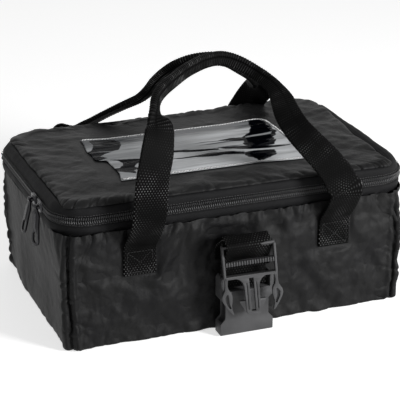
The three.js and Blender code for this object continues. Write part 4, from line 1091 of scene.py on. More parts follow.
def makeHandle(side, sign, hingeZ, rows):
    leftFoot, rightFoot = handle["feet"][side]
    stations = legStations(-handle["halfSpan"], sign, hingeZ, leftFoot) + loopStations(rows)
    stations += legStations(handle["halfSpan"], sign, hingeZ, rightFoot)[::-1]
    path = webbingPath(stations, handle["ringStep"], 10)
    high = np.where(path["place"][:, 2] > handle["splitZ"])[0]
    first, last = high[0], high[-1]
    for end, low, top in (("left", 0, first), ("right", last, len(path["along"]) - 1)):
        leg = webbingPiece(f"{side}_leg_webbing_{end}", path, low, top)
        dress(leg, webbing, None, [f"handle_end_{side}_{end}", f"{side}_leg_{end}"])
        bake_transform(leg)
    loop = webbingPiece(f"{side}_handle_webbing", path, first, last)
    dress(loop, webbing, None, [f"{side}_handle_loop"])
    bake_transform(loop)


makeHandle("front", -1, 112.0, frontLoop)
makeHandle("back", 1, 104.0, backLoop)
print("handles ready")

# document window: clear soft vinyl stitched on three sides
window = {"left": -88.0, "right": 77.0, "front": -56.5, "back": 47.5, "corner": 12.0, "stepsX": 236, "stepsY": 140,
          "wall": 0.3, "gap": 1.0, "hemIn": 1.8, "hemWide": 1.45, "hemThick": 0.17, "hemRings": 260,
          "stitchPitch": 2.5, "stitchRadius": 0.4, "stitchSwing": 0.75, "stitchSeed": 17, "soft": 0.5}


def windowLeft(y):
    # free left edge: bowed out towards the back, with the thumb cut-out in its middle
    bow = 3.6 * bell(y - 14, 17) + 2.6 * bell(y + 4, 5.5)
    step = 5.2 * smoothStep(-y, 7.5, 11)
    return window["left"] - bow + step * (1 - smoothStep(-y, 40, 60) * 0.6)


def windowRight(y):
    past = np.clip(y - (window["back"] - window["corner"]), 0, window["corner"])
    return window["right"] - window["corner"] + np.sqrt(window["corner"] ** 2 - past ** 2)


def windowHeight(x, y):
    long = wobble(x / 75, y / 9.5, 3.3) * 0.55 + wobble(x / 42, y / 4.6, 8.1) * 0.28
    long += wobble(x / 20, y / 16, 1.1) * 0.2
    fromHem = np.minimum(np.minimum(window["back"] - y, y - window["front"]), windowRight(y) - x)
    return lidSurface(x, y) + window["gap"] + long * smoothStep(fromHem, 0, 9) + 0.35 * smoothStep(fromHem, 0, 6)


# outlines, in plan, of the patches painted dark as a reflection, where the vinyl also lies close and shows the
# black cloth
clingAndDarkReflectionPatches = [
    [(-82, 42), (-76, 42), (-61, 38), (-58.5, 30), (-61, 20), (-66, 11), (-72, 8), (-82, 11.5), (-87, 11.5),
     (-93, 12), (-88, 15.5), (-84, 22), (-82, 30), (-82.5, 36)],
    [(-93, 12.5), (-87, 12), (-73, 7), (-80.5, 4), (-85, 0), (-81, -6), (-87, -8), (-93, -10.5), (-94, -1)],
    [(-81, -11), (-73, -13), (-55, -17), (-57, -24), (-63, -27), (-66.5, -32), (-64, -37), (-70, -41),
     (-70, -47), (-78, -43), (-84, -37), (-84.5, -31), (-78.5, -31), (-74.5, -26.5), (-72.5, -20), (-75, -15)],
    [(63, 46), (71, 46), (74, 32), (72.5, 17), (72.5, 8), (70.5, -0.5), (64, -5), (63, -15.5), (59, -22),
     (51, -22), (40, -19), (34, -15.5), (37, -6), (26, -2), (18, 1.5), (28.5, 3.5), (40, 2.5), (43, 5.5),
     (52, 15), (58, 31)],
    [(12, -14.5), (28, -16), (40.5, -18.5), (57.5, -24), (73, -26), (58, -29), (34, -26.5), (19.5, -19.5)],
    [(28.5, -31.5), (38.5, -30.5), (55, -33), (51.5, -42), (45, -49), (38, -52.5), (32.5, -55), (30.5, -53),
     (30.5, -45.5), (27, -42.5)],
    [(-34.5, -27), (-20.5, -26), (0.5, -23), (13, -25), (28, -30.5), (27.5, -35.5), (11, -30), (3, -31.5),
     (-13, -28.5), (-27, -28.5)],
    [(-25.5, -8.5), (-7, -13), (12, -16), (11, -18), (-8.5, -16.5), (-27, -12.5)]]
# a thin grey fold across the largest patch, painted paler as a reflection
greyFoldReflection = [(43, 3), (53, 5), (68, 7), (68, 3), (53, 1.5), (43, 0)]  # a thin grey fold across the largest patch


def patchDepth(x, y, outline):
    # how far inside an outline a place is, in millimetres; negative outside
    corners = np.array(outline, float)
    inside, nearest = np.zeros(x.shape, bool), np.full(x.shape, 1e9)
    for (ax, ay), (bx, by) in zip(corners, np.roll(corners, -1, 0)):
        share = np.clip(((x - ax) * (bx - ax) + (y - ay) * (by - ay)) / ((bx - ax) ** 2 + (by - ay) ** 2), 0, 1)
        nearest = np.minimum(nearest, np.hypot(x - ax - share * (bx - ax), y - ay - share * (by - ay)))
        crosses = (ay > y) != (by > y)
        inside ^= crosses & (x < ax + (y - ay) * (bx - ax) / (by - ay if by != ay else 1e-9))
    return np.where(inside, nearest, -nearest)


def windowClingAndReflection(x, y):
    # 0 where the vinyl stands off and is painted pale with a reflection, up to 0.5 where it is painted duller, 1
    # where it lies on the cloth and a dark reflection is painted
    u = x + (0.35 + 0.9 * smoothStep(x, -20, 20)) * wobble(x / 15, y / 3.2, 4.4)
    v = y + 0.4 * wobble(x / 11, y / 4, 9.2)
    soft = window["soft"]
    dark = np.max([smoothStep(patchDepth(u, v, p), -soft, soft) for p in clingAndDarkReflectionPatches], 0)
    dark *= 1 - 0.75 * smoothStep(patchDepth(u, v, greyFoldReflection), -soft, soft)
    # painted reflections: fine streaks along the wrinkles in the middle, and a duller back part and left end
    streak = smoothStep(wobble(x / 44, v / 2.4, 2.9), 0.45, 0.8) * smoothStep(np.abs(y + 12), 24, 10)
    streak *= smoothStep(x, -60, -30) * (1 - smoothStep(x, 20, 50))
    tone = 0.30 * smoothStep(y, 16, 34) + 0.16 * smoothStep(-x, 30, 60)
    tone = tone + 0.07 * smoothStep(np.abs(y + 8), 16, 4)
    tone += 0.05 * wobble(x / 60, y / 5, 1.1) + 0.03 * wobble(x / 25, y / 2.2, 7.1)
    return np.clip(np.maximum(dark, np.clip(tone + 0.42 * streak, 0, 0.55)), 0, 1)


def makeWindow():
    y = np.linspace(window["front"], window["back"], window["stepsY"])
    left, right = windowLeft(y), windowRight(y)
    share = np.linspace(0, 1, window["stepsX"])
    x = left[:, None] + (right - left)[:, None] * share[None]
    yy = np.broadcast_to(y[:, None], x.shape)
    top = np.stack([x, yy, windowHeight(x, yy)], 2).reshape(-1, 3)
    low = top - np.array([0, 0, window["wall"]])
    rows, columns = x.shape
    faces, count = gridFaces(rows, columns), rows * columns
    under = faces[:, ::-1] + count
    edge = (list(range(columns)) + [r * columns + columns - 1 for r in range(1, rows)]
            + [(rows - 1) * columns + c for c in range(columns - 2, -1, -1)]
            + [r * columns for r in range(rows - 2, 0, -1)])
    side = [[edge[i], edge[i - 1], edge[i - 1] + count, edge[i] + count] for i in range(len(edge))]
    piece = meshPiece("window_sheet", np.vstack([top, low]), [*faces.tolist(), *under.tolist(), *side])
    faceOut(piece, 0.001)
    places = np.array([v.co for v in piece.data.vertices]) / mm
    setAttribute(piece, "clingAndPaintedReflection", windowClingAndReflection(places[:, 0], places[:, 1]))
    return piece


def hemLine():
    # along the back from the left, round the corner, down the right and back along the front
    inward = window["hemIn"] * 0.75
    back, right, front = window["back"] - inward, window["right"] - inward, window["front"] + inward
    radius = window["corner"] - inward
    cx, cy = right - radius, back - radius
    backStart, frontEnd = (float(windowLeft(np.array([y]))[0]) + 1.0 for y in (back, front))
    line = [(x, back) for x in np.linspace(backStart, cx, 80)]
    line += [(cx + radius * math.sin(a), cy + radius * math.cos(a)) for a in np.linspace(0, math.pi / 2, 16)[1:]]
    line += [(right, y) for y in np.linspace(cy, front, 60)[1:]]
    line += [(x, front) for x in np.linspace(right, frontEnd, 90)[1:]]
    line = np.array(line)
    return line, runLength(line)


def hemPlaces(at, line, run):
    # places on the hem's line, and the way across it
    place = sampled(at, run, line)
    tangent = headings(place)
    return place, np.stack([tangent[:, 1], -tangent[:, 0]], 1)


def makeWindowStitches():
    line, run = hemLine()
    count = int(run[-1] / window["stitchPitch"]) * 2 + 1
    place, side = hemPlaces(np.linspace(0.5, run[-1] - 0.5, count), line, run)
    swing = np.where(np.arange(count) % 2 == 0, window["stitchSwing"], -window["stitchSwing"])
    swing = swing + np.random.default_rng(window["stitchSeed"]).normal(0, 0.24, count)
    place = place + side * swing[:, None]
    points = atHeight(place, windowHeight(*place.T) + 0.22)
    return capsules("window_stitches", points[:-1], points[1:], window["stitchRadius"])


def makeWindowHem():
    # the folded edge of the vinyl under the stitches
    line, run = hemLine()
    place, side = hemPlaces(np.linspace(0, run[-1], window["hemRings"]), line, run)
    turn = np.linspace(0, 2 * math.pi, 13)[:-1]
    section = np.stack([window["hemWide"] * np.cos(turn), window["hemThick"] * np.sin(turn)], 1)
    return uprightSweep("window_hem_fold", atHeight(place, windowHeight(*place.T) + 0.04), side, section)


windowSheet = dress(makeWindow(), vinyl, "lid", ["document_window"])
windowStitches = dress(makeWindowStitches(), paleThread, "lid")
windowFold = dress(makeWindowHem(), hemVinyl, "lid", ["window_hem"])
print("document window ready")


# hard pieces, modelled in edit mode
def editStrip(name, rows, near, far):
    # rows: (z, x from, x to). One edge is extruded row by row, then the face is given its depth in y
    deselectAll()
    bpy.ops.mesh.primitive_plane_add(size=1)
    piece = bpy.context.object
    piece.name = name
    piece.data.name = name
    bpy.ops.object.mode_set(mode="EDIT")
    bpy.ops.mesh.select_all(action="DESELECT")
    bpy.ops.mesh.select_mode(type="VERT")
    bm = bmesh.from_edit_mesh(piece.data)
    for vertex in bm.verts:
        vertex.select = vertex.co.y > 0
    bm.select_flush_mode()
    bmesh.update_edit_mesh(piece.data)
    bpy.ops.mesh.delete(type="VERT")
    bpy.ops.mesh.select_all(action="SELECT")
    z, left, right = rows[0]
    middle, wide = (left + right) / 2 * mm, (right - left) * mm
    bpy.ops.transform.translate(value=(middle, 0.5 + near * mm, z * mm))
    bpy.ops.transform.resize(value=(wide, 1, 1), center_override=(middle, near * mm, z * mm))
    for z2, left2, right2 in rows[1:]:
        middle2, wide2 = (left2 + right2) / 2 * mm, (right2 - left2) * mm
        bpy.ops.mesh.extrude_region_move(TRANSFORM_OT_translate={"value": (middle2 - middle, 0, (z2 - z) * mm)})
        bpy.ops.transform.resize(value=(wide2 / wide, 1, 1), center_override=(middle2, near * mm, z2 * mm))
        z, middle, wide = z2, middle2, wide2
    bpy.ops.mesh.select_all(action="SELECT")
    bpy.ops.mesh.extrude_region_move(TRANSFORM_OT_translate={"value": (0, (far - near) * mm, 0)})
    endEdit(outwards=True)
    return piece


def mirrored(rows, side):
    # rows for editStrip on the right (1), or turned over to the left (-1)
    return [(z, *sorted((side * a, side * b))) for z, a, b in rows]


def evenly(rows):
    # rows for editStrip from a height and a half width
    return [(z, -half, half) for z, half in rows]


def editBox(name, x, y, z, taper=1.0):
    # a block between two corners; its front face may be drawn in a little
    deselectAll()
    middle = [sum(pair) / 2 * mm for pair in (x, y, z)]
    size = [(pair[1] - pair[0]) * mm for pair in (x, y, z)]
    bpy.ops.mesh.primitive_cube_add(size=1, location=middle, scale=size)
    piece = bpy.context.object
    piece.name = name
    applyPlace(piece)
    if taper != 1.0:
        editFaces(piece, (0, -1, 0))
        bpy.ops.transform.resize(value=(taper, 1, taper), center_override=(middle[0], min(y) * mm, middle[2]))
        endEdit()
    return piece


def editRod(name, radius, length, place, axis, sides=28):
    turn = {"x": (0, math.pi / 2, 0), "y": (math.pi / 2, 0, 0), "z": (0, 0, 0)}[axis]
    deselectAll()
    bpy.ops.mesh.primitive_cylinder_add(vertices=sides, radius=radius * mm, depth=length * mm,
                                        location=tuple(v * mm for v in place), rotation=turn)
    piece = bpy.context.object
    piece.name = name
    applyPlace(piece)
    return piece


def merge(piece, others, how="UNION"):
    for other in others:
        modifier = piece.modifiers.new(how.lower(), "BOOLEAN")
        modifier.operation, modifier.object, modifier.solver = how, other, "EXACT"
        applyModifiers(piece)
        bpy.data.objects.remove(other)
    return piece


def roundEdges(piece, width, segments=3, degrees=30):
    modifier = piece.modifiers.new("bevel", "BEVEL")
    modifier.width, modifier.segments, modifier.limit_method = width * mm, segments, "ANGLE"
    modifier.angle_limit = math.radians(degrees)
    modifier.use_clamp_overlap = True
    applyModifiers(piece)
    smoothByAngle(piece)
    return piece


def setPlace(piece, place=(0, 0, 0), turn=(0, 0, 0)):
    piece.location = Vector(place) * mm
    piece.rotation_euler = [math.radians(a) for a in turn]
    applyPlace(piece)
    return piece


# Side-release buckle, socket half: hangs mouth down behind the other
socket = {"x": -0.6, "half": 22.4, "waist": 18.4, "front": -110.5, "back": -98.5, "bottom": 0.9, "rim": 12.0,
          "waistTop": 32.0, "top": 50.5, "wall": 2.0, "strapHalf": 19.3, "edge": 0.7}


def makeSocket():
    s = socket
    half, waist, top = s["half"], s["waist"], s["waistTop"]
    rows = [(s["bottom"], half), (s["rim"] - 1.5, half), (s["rim"] + 2.4, waist + 0.4), (s["rim"] + 3.2, waist),
            (top - 3.6, waist), (top - 2.8, waist + 0.5), (top, half), (s["top"] - 2.5, half),
            (s["top"], half - 1.6)]
    body = editStrip("socket_half", evenly(rows), s["front"], s["back"])
    slot = (-s["strapHalf"], s["strapHalf"])
    cuts = [editBox("hollow", (-21, 21), (s["front"] + 2, s["back"] - 2), (0, top - s["wall"])),
            editBox("strapSlot", slot, (s["front"] - 2, s["back"] + 2), (38.2, 60)),
            # the face is cut back above the hollow, so the ears stand proud on either side
            editBox("earStep", slot, (s["front"] - 2, s["front"] + 2.4), (38.6, 60))]
    merge(body, cuts, "DIFFERENCE")
    merge(body, [editRod("bar", 1.5, 2 * half - 1.6, (0, (s["front"] + s["back"]) / 2, 47.5), "x", 20)])
    roundEdges(body, s["edge"], 3, 35)
    return setPlace(body, (s["x"], 0, 0))


# Plug half: frame with a ribbed bar for the strap, two sprung arms and a forked guide
plug = {"place": (-2.6, -113.5, 80.2), "tilt": -5.0, "roll": -4.6, "yaw": -11.0, "half": 21.4, "inner": 19.6,
        "thick": 5.5, "teeth": 19, "toothHalf": 0.52, "edge": 0.42}
# outlines of its parts, from the top down: height, and from x to x on the right, or half width
armRows = [(-25.5, 17.4, 21.3), (-28, 18.6, 21.2), (-32, 19.2, 21.0), (-35.6, 18.6, 21.4), (-38.0, 17.0, 22.6),
           (-40.6, 16.2, 24.0), (-43.2, 16.1, 24.4), (-46.0, 16.5, 23.6), (-49.0, 17.2, 22.0), (-52.4, 17.0, 20.0),
           (-55.4, 16.2, 17.8), (-56.8, 15.8, 16.5)]
guideRows = [(-26.2, 13.5), (-27.4, 11.4), (-28.8, 9.0), (-31.0, 7.0), (-34.5, 6.0), (-48.6, 5.7), (-57.0, 5.5),
             (-58.2, 4.6)]
finRows = [(-46.5, 4.2, 10.6), (-48.5, 4.2, 10.0), (-52.5, 4.2, 7.8), (-57.2, 4.2, 5.6)]
grooveRows = [(-39.5, 19.2, 20.4), (-42.5, 19.0, 22.2), (-46.5, 18.8, 21.6), (-51.5, 17.6, 18.9)]


def makePlug():
    p = plug
    front, wide = -p["thick"], (-p["inner"] - 1, p["inner"] + 1)
    body = editBox("plug_half", (-p["half"], -p["inner"]), (front, 0), (-27.5, 0), 0.86)
    parts = [editBox("railRight", (p["inner"], p["half"]), (front, 0), (-27.5, 0), 0.86),
             editRod("topBar", 1.35, 2 * p["inner"] + 2, (0, -3.3, -1.7), "x", 20),
             editBox("crossBar", wide, (front + 0.2, -0.6), (-27.2, -25.0), 0.96),
             editBox("ribbedBar", wide, (front + 0.4, -1.6), (-16.4, -13.0), 0.9)]
    parts += [editStrip("arm", mirrored(armRows, side), front + 0.8, -0.9) for side in (-1, 1)]
    parts.append(editStrip("guide", evenly(guideRows), front + 0.6, -0.9))
    parts += [editStrip("fin", mirrored(finRows, side), front + 1.2, -1.5) for side in (-1, 1)]
    merge(body, parts)
    cuts = [editBox("slot", (-1.8, 1.8), (-9, 2), (-55.6, -27.9))]
    for side in (-1, 1):
        # a groove down each arm leaves a rib along its outer edge
        cuts.append(editStrip("groove", mirrored(grooveRows, side), -9, front + 2.6))
        # and the guide's prongs are stepped back beside the slot
        cuts.append(editBox("step", sorted((side * 3.5, side * 4.2)), (-9, front + 1.8), (-54.0, -31.5)))
    merge(body, cuts, "DIFFERENCE")
    roundEdges(body, p["edge"], 2, 35)
    pitch = 2 * p["inner"] / p["teeth"]
    teeth = []
    for number in range(p["teeth"]):
        x = -p["inner"] + (number + 0.5) * pitch
        across = (x - p["toothHalf"], x + p["toothHalf"])
        tooth = editBox("tooth", across, (front - 0.75, front + 1.2), (-16.6, -12.8), 0.86)
        teeth.append(roundEdges(tooth, 0.2, 1))
    activate(body)
    for tooth in teeth:
        tooth.select_set(True)
    bpy.ops.object.join()
    setPlace(body, (0, 0, 0), (0, p["roll"], 0))
    setPlace(body, p["place"], (p["tilt"], 0, p["yaw"]))
    smoothByAngle(body)
    return body


dress(makeSocket(), acetal, "female_half", ["female_buckle"])
dress(makePlug(), acetal, "male_half", ["male_buckle"])
print("buckle ready")

# Zip sliders with their bails, and the pull tabs
sliderSet = {"plateX": 149.55, "plate": 1.35, "innerX": 145.75, "zipZ": 107.5, "bailX": 153.35, "bailRadius": 0.75,
             "bailHalf": 3.1, "bailCut": 0.8, "rearY": -33.5, "frontY": -50.5, "stopX": 148.52}
# outlines: of the plates towards the mouth, of the pull tab, of its opening and of the ridge on its face
plateRows = [(-4.8, 0.4, 4.2), (-4.4, -1.6, 5.2), (-3.3, -5.6, 5.9), (-1.2, -6.0, 6.0), (1.2, -6.0, 6.0),
             (3.3, -5.6, 5.9), (4.4, -1.6, 5.2), (4.8, 0.4, 4.2)]
pullRows = [(1.6, 1.2), (0.6, 1.9), (-2.6, 2.0), (-3.6, 2.3), (-5.2, 3.3), (-7.5, 3.9), (-14, 3.7), (-21, 3.9),
            (-25.2, 4.0), (-26.6, 3.7), (-27.9, 2.9), (-28.7, 1.8), (-29, 0.7)]
holeRows = [(-17.6, 0.5), (-18.4, 1.4), (-19.6, 1.95), (-24.6, 1.95), (-26.0, 1.4), (-26.7, 0.5)]
ridgeRows = [(-4.5, 0.5), (-6, 1.1), (-16, 0.8), (-17.6, 0.3)]


def makeSlider(name, y, mouth):
    s = sliderSet
    rows, outerX = mirrored(plateRows, mouth), s["plateX"] + s["plate"]
    body = editStrip(name, rows, s["plateX"], outerX)
    inner = editStrip("inner", rows, s["innerX"], s["innerX"] + s["plate"])
    post = editBox("post", (mouth * 4.6 - 1.4, mouth * 4.6 + 1.4), (s["innerX"] + 0.6, s["plateX"] + 0.6),
                   (-0.28, 0.28))
    boss = editBox("boss", (-4.4, 4.4), (outerX - 0.5, outerX + 0.5), (-1.7, 1.7))
    merge(body, [inner, post, boss])
    roundEdges(body, 0.35, 2, 35)
    deselectAll()
    bpy.ops.mesh.primitive_torus_add(major_segments=32, minor_segments=12, major_radius=s["bailHalf"] * mm,
                                     minor_radius=s["bailRadius"] * mm, location=(0, outerX * mm, 0))
    bail = bpy.context.object
    applyPlace(bail)
    editAll(bail)
    bpy.ops.mesh.bisect(plane_co=(0, (s["plateX"] + s["bailCut"]) * mm, 0), plane_no=(0, 1, 0), use_fill=True,
                        clear_inner=True)
    bpy.ops.mesh.select_all(action="SELECT")
    # the arch is pressed down so that its top is straight over the pull's eye
    reach = (s["bailX"] - s["plateX"] - s["plate"]) / s["bailHalf"]
    bpy.ops.transform.resize(value=(1, reach, 1), center_override=(0, outerX * mm, 0))
    endEdit(outwards=True)
    merge(body, [bail])
    smoothByAngle(body)
    return setPlace(body, (0, y, s["zipZ"]), (0, 0, 90))


def makePull(name, y, longer, lean, swivel):
    s = sliderSet
    rows = [(z - longer * (z < -20), half) for z, half in pullRows]
    body = editStrip(name, evenly(rows), s["bailX"] - 0.7, s["bailX"] + 0.7)
    merge(body, [editRod("eye", 2.0, 3.8, (0, s["bailX"], 0), "x", 24)])
    rim = [(z - longer, half) for z, half in holeRows]
    hole = editStrip("hole", evenly(rim), s["bailX"] - 4, s["bailX"] + 4)
    bore = editRod("bore", 1.1, 12, (0, s["bailX"], 0), "x", 20)
    merge(body, [hole, bore], "DIFFERENCE")
    merge(body, [editStrip("ridge", evenly(ridgeRows), s["bailX"] + 0.6, s["bailX"] + 1.0)])
    roundEdges(body, 0.33, 2, 35)
    # it hangs from its eye a little askew
    setPlace(body, (0, -s["bailX"], 0))
    setPlace(body, (0, 0, 0), (lean, 0, swivel))
    setPlace(body, (0, s["bailX"], 0))
    return setPlace(body, (0, y, s["zipZ"]), (0, 0, 90))


for side, y, mouth, hang in (("rear", sliderSet["rearY"], -1, (-1.2, 15.5, 10)),
                             ("front", sliderSet["frontY"], 1, (3.0, 4.0, 26))):
    dress(makeSlider(f"zip_slider_{side}", y, mouth), sliderPaint, f"{side}_slider", [f"slider_{side}"])
    dress(makePull(f"pull_tab_{side}", y, *hang), sliderPaint, f"{side}_pull", [f"pull_{side}"])


def makeStop(name, sign):
    # a staple pinched over the last turns of the coil
    body = editBox(name, (0.4, 2.2), (61.9, 64.4), (102.8, 105.0), 0.9)
    merge(body, [editBox("notch", (-1, 1.2), (62.5, 63.8), (102.0, 106.0))], "DIFFERENCE")
    roundEdges(body, 0.3, 2)
    body.scale = (sign, 1, 1)
    body.location = (sign * sliderSet["stopX"] * mm, 0, 0)
    applyPlace(body)
    editAll(body)
    endEdit(outwards=True)
    return body


for side, sign in (("left", -1), ("right", 1)):
    dress(makeStop(f"zip_staple_{side}", sign), sliderPaint, "bag", [f"zip_stop_{side}"])
print("sliders ready")

# webbing of the buckle
strap = {"x": -3.0, "width": 38.0, "thick": 1.15, "foldY": -107.5, "foldZ": 82.0, "lift": 0.17, "step": 0.5,
         "faceSteps": 59}


def strapPath(points):
    points = np.asarray(points, float)
    stations = [((strap["x"], y, z), (0, -t[1], t[0]), strap["width"], strap["thick"], 0)
                for (y, z), t in zip(points, headings(points))]
    return webbingPath(stations, strap["step"], 3)


def roundFold(radius, angles):
    # 0 degrees points back, 90 up and 180 forward
    turns = [math.radians(a) for a in angles]
    return [(strap["foldY"] + radius * math.cos(t), strap["foldZ"] + radius * math.sin(t)) for t in turns]


def plugPoint(down, out):
    tilt = math.radians(-plug["tilt"])
    _, y, z = plug["place"]
    return y - out * math.cos(tilt) - down * math.sin(tilt), z - down * math.cos(tilt) + out * math.sin(tilt)


anchorPoints = [(-93.5, 60), (-93.5, 65), (-93.9, 69.8), (-97.2, 74), (-102.4, 78.0), (-106.5, 80.9),
                *roundFold(0.62, (250, 200, 150, 90, 30, -30))]
socketPoints = [*roundFold(2.2, (130, 150, 168, 180)), (-107.4, 67), (-106.9, 58), (-106.8, 52), (-106.8, 40.4)]
plugWay = [(-2.3, 2.9), (-0.7, 5.5), (2.6, 5.8), (6.8, 3.6), (11.5, 0.5), (14.5, 0.1), (20, 0.1)]
plugPoints = [*roundFold(3.9, (128, 118)), *(plugPoint(down, out) for down, out in plugWay)]
for name, points, body, node in (("anchor_webbing", anchorPoints, "bag", "buckle_anchor"),
                                 ("socket_webbing", socketPoints, "female_half", "female_strap"),
                                 ("plug_webbing", plugPoints, "male_half", "male_strap")):
    path = strapPath(points)
    piece = webbingPiece(name, path, 0, len(path["along"]) - 1, strap["faceSteps"], strap["lift"])
    dress(piece, webbing, body, [node])
print("buckle webbing ready")


# Sewn squares that hold the handles: a box with a cross, in small stitches
bartack = {"half": 10.4, "low": 59.2, "high": 77.4, "pitch": 2.3, "y": 94.98, "wander": 0.16, "radius": 0.13}


def makeBartack(name, x, sign):
    rng = np.random.default_rng(int(abs(x)) + (3 if sign > 0 else 7) + (1 if x > 0 else 0))
    half, low, high, pitch, y, stray, radius = bartack.values()
    lines = [((-half, low), (half, low)), ((half, low), (half, high)), ((half, high), (-half, high)),
             ((-half, high), (-half, low)), ((-half, low), (half, high)), ((-half, high), (half, low)),
             ((-half + 1.3, low + 1.4), (half - 1.3, low + 1.4))]
    starts, ends = [], []
    for (x0, z0), (x1, z1) in lines:
        count = int(math.hypot(x1 - x0, z1 - z0) / pitch)
        for i in range(count):
            wander = rng.normal(0, stray, 4)
            for row, share, dx, dz in ((starts, (i + 0.12) / count, *wander[:2]),
                                       (ends, (i + 0.88) / count, *wander[2:])):
                row.append((x + x0 + (x1 - x0) * share + dx, sign * y, z0 + (z1 - z0) * share + dz))
    return capsules(name, starts, ends, radius)


for face, sign in (("front", -1), ("back", 1)):
    for end, side in (("left", -1), ("right", 1)):
        x = side * handle["halfSpan"] + handle["feet"][face][side > 0]
        dress(makeBartack(f"bartack_{face}_{end}", x, sign), darkThread, "bag")


# foam boards and foil lining
boards = {"inner": 7.3, "low": 8.2, "high": 98.0, "round": 0.9, "unevenness": 0.12, "cell": 19,
          "gap": {"front": 2.4, "back": 2.4, "left": 2.9, "right": 4.6}}


def cellSurface(piece):
    # the slight unevenness of a cut foam face
    editAll(piece)
    bpy.ops.mesh.subdivide(number_cuts=5)
    endEdit()
    for vertex in piece.data.vertices:
        place = vertex.co / mm / boards["cell"]
        vertex.co += vertex.normal * noise.noise(place) * boards["unevenness"] * mm


def makeBoard(side):
    alongX = side in ("front", "back")
    sign = -1 if side in ("front", "left") else 1
    ends = []
    for z in (boards["low"], boards["high"]):
        halfX, halfY, radius = (float(v) for v in planAt(z))
        run = (halfX if alongX else halfY) - radius
        far = (halfY if alongX else halfX) - boards["gap"][side]
        ends.append((run, far))
    (run, far), (runTop, farTop) = ends
    across = sorted((sign * far, sign * (far - boards["inner"] + boards["gap"][side])))
    x, y = ((-run, run), across) if alongX else (across, (-run, run))
    board = editBox("foam_board_" + side, x, y, (boards["low"], boards["high"]))
    editFaces(board, (0, 0, 1))
    ratio, shift = runTop / run, sign * (farTop - far) * mm
    bpy.ops.transform.resize(value=(ratio, 1, 1) if alongX else (1, ratio, 1),
                             center_override=(0, 0, boards["high"] * mm))
    bpy.ops.transform.translate(value=(0, shift, 0) if alongX else (shift, 0, 0))
    endEdit()
    roundEdges(board, boards["round"], 3)
    cellSurface(board)
    return board


for side in ("front", "back", "left", "right"):
    board = dress(makeBoard(side), foam, "bag", ["foam_" + side])


def ringPiece(name, levels, seed=0.0, crumple=0.0, scale=14.0):
    # closed skin through levels (z, offset from the plan); both ends shrink to the middle line
    rows = []
    for z, offset in levels:
        halfX, halfY, radius = (float(v) for v in planAt(min(max(z, 0), bag["zipHeight"])))
        lean = float(leanShare(z))
        halfX += (lidTop["halfX"] - halfX) * lean
        halfY += (lidTop["halfY"] - halfY) * lean
        halfY = max(halfY + offset, 0.0)
        rows.append((z, halfX + offset, halfY, min(max(radius + offset, 0.0), halfY), lidTop["shiftY"] * lean))
    points = []
    for z, halfX, halfY, radius, shiftY in rows:
        p, out = ringPoints(halfX, halfY, radius, 72, 36, 8, shiftY * (halfY > 20))
        lift = crumple * wobble(p[:, 0] / scale, p[:, 1] / scale, z / scale + seed) if crumple else 0 * p[:, 0]
        side = out * lift[:, None] * 0.6
        points.append(atHeight(p + side * (halfY > 20), z + lift * 0.35))
    return ringMesh(name, points, 0.02)


def flatRows(z, fromOffset, toOffset, steps=12):
    return [(z, offset) for offset in np.linspace(fromOffset, toOffset, steps)]


deep = -wallY
baseBoard = ringPiece("foam_board_base", [
    *flatRows(1.35, deep, -4), (1.6, -2.2), (2.6, -1.4), (6.0, -1.35), (7.0, -2.0), (7.25, -3.4),
    *flatRows(7.3, -5, deep)])
dress(baseBoard, foam, "bag", ["foam_base"])
lidBoard = ringPiece("foam_board_lid", [
    *flatRows(114.15, deep, -8), (114.3, -5.6), (115.2, -4.6), (116.9, -4.6), (117.7, -6.2), (118.1, -10),
    (118.8, -20), *flatRows(119.4, -34, deep)])
for vertex in lidBoard.data.vertices:
    place = vertex.co / mm
    if place.z > 116:
        vertex.co.z = min(place.z, float(lidSurface(place.x, place.y)) - 2.4) * mm
dress(lidBoard, foam, "lid", ["lid_foam"])

wallRows = np.linspace(98.0, 10.5, 26)
tub = ringPiece("foil_tub", [
    *flatRows(7.65, deep, -12), (7.9, -8.6), (9.5, -7.8), *((z, -7.75) for z in wallRows[::-1]),
    (98.35, -7.4), (98.4, -4.5), (98.45, -1.5), (98.7, -1.35), (98.9, -1.6), (98.95, -5), (98.9, -7.8),
    (98.3, -8.3), *((z, -8.35) for z in wallRows), (9.0, -9.2), (8.35, -12.5), *flatRows(8.3, -18, deep, 26)],
    2.2, 0.22, 9.0)
dress(tub, foil, "bag", ["liner_tub"])
lidFoil = ringPiece("foil_lid_lining", [
    *flatRows(113.3, deep, -6, 26), (113.35, -3.4), (113.5, -3.0), (113.7, -3.3), *flatRows(113.85, -6, deep, 26)],
    5.2, 0.3, 11.0)
dress(lidFoil, foil, "lid", ["lid_lining"])
print("foam and lining ready")


# stage: white paper and background that are brighter where the camera sees them, directly or in a reflection
def seenDirectly(tree):
    path = addNode(tree, "ShaderNodeLightPath")
    seen = compute(tree, "MAXIMUM", path.outputs["Is Camera Ray"], path.outputs["Is Glossy Ray"])
    return compute(tree, "MAXIMUM", seen, path.outputs["Is Transmission Ray"])


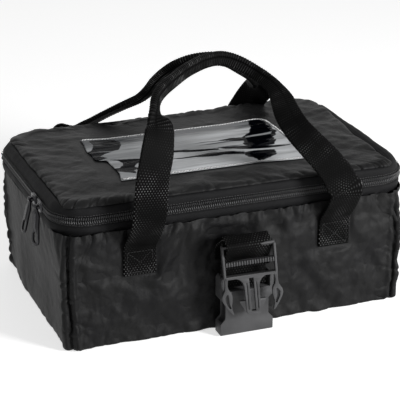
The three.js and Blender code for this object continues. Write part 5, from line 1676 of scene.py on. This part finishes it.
floorSize, floorZ = 3.0, -0.0003
bpy.ops.mesh.primitive_plane_add(size=floorSize, location=(0, 0, floorZ))
floor = bpy.context.object
floor.name = "studio_floor"
applyPlace(floor)
material, tree = newMaterial("white_studio_paper")
paper = addNode(tree, "ShaderNodeBsdfDiffuse", {"Color": (0.8, 0.8, 0.8, 1)}).outputs[0]
glow = addNode(tree, "ShaderNodeEmission", {"Color": (1, 1, 1, 1), "Strength": 0.62}).outputs[0]
both = addNode(tree, "ShaderNodeAddShader", {0: paper, 1: glow}).outputs[0]
shown = addNode(tree, "ShaderNodeMixShader", {0: seenDirectly(tree), 1: paper, 2: both})
addNode(tree, "ShaderNodeOutputMaterial", {"Surface": shown.outputs[0]})
floor.data.materials.append(material)

world = bpy.data.worlds.new("studio_world")
bpy.context.scene.world = world
world.use_nodes = True
tree = world.node_tree
tree.nodes.clear()
ambient = addNode(tree, "ShaderNodeBackground", {"Color": (1, 1, 1, 1), "Strength": 0.22}).outputs[0]
backdrop = addNode(tree, "ShaderNodeBackground", {"Color": (1, 1, 1, 1), "Strength": 1.0}).outputs[0]
mixed = addNode(tree, "ShaderNodeMixShader", {0: seenDirectly(tree), 1: ambient, 2: backdrop})
addNode(tree, "ShaderNodeOutputWorld", {"Surface": mixed.outputs[0]})


def areaLamp(name, place, aim, size, power):
    data = bpy.data.lights.new(name, "AREA")
    data.shape, data.size, data.size_y, data.energy = "RECTANGLE", size[0], size[1], power
    lamp = bpy.data.objects.new(name, data)
    bpy.context.scene.collection.objects.link(lamp)
    lamp.location = place
    lamp.rotation_mode = "QUATERNION"
    lamp.rotation_quaternion = (Vector(aim) - Vector(place)).to_track_quat("-Z", "Y")


# place, aim and size in metres, and power in watts
lamps = {"top_softbox": ((-0.3, 0.25, 1.15), (0, 0, 0.1), (0.5, 0.5), 0.4),
         "back_softbox": ((0.1, 0.8, 0.95), (0, 0, 0.1), (0.35, 0.35), 0.5),
         "front_softbox": ((0.75, -1.1, 0.43), (0, 0, 0.06), (0.35, 0.35), 26),
         "left_softbox": ((-1.2, -0.3, 0.5), (0, 0, 0.05), (0.3, 0.7), 1.6)}
for name, settings in lamps.items():
    areaLamp(name, *settings)
bpy.context.scene.view_settings.view_transform = "Standard"
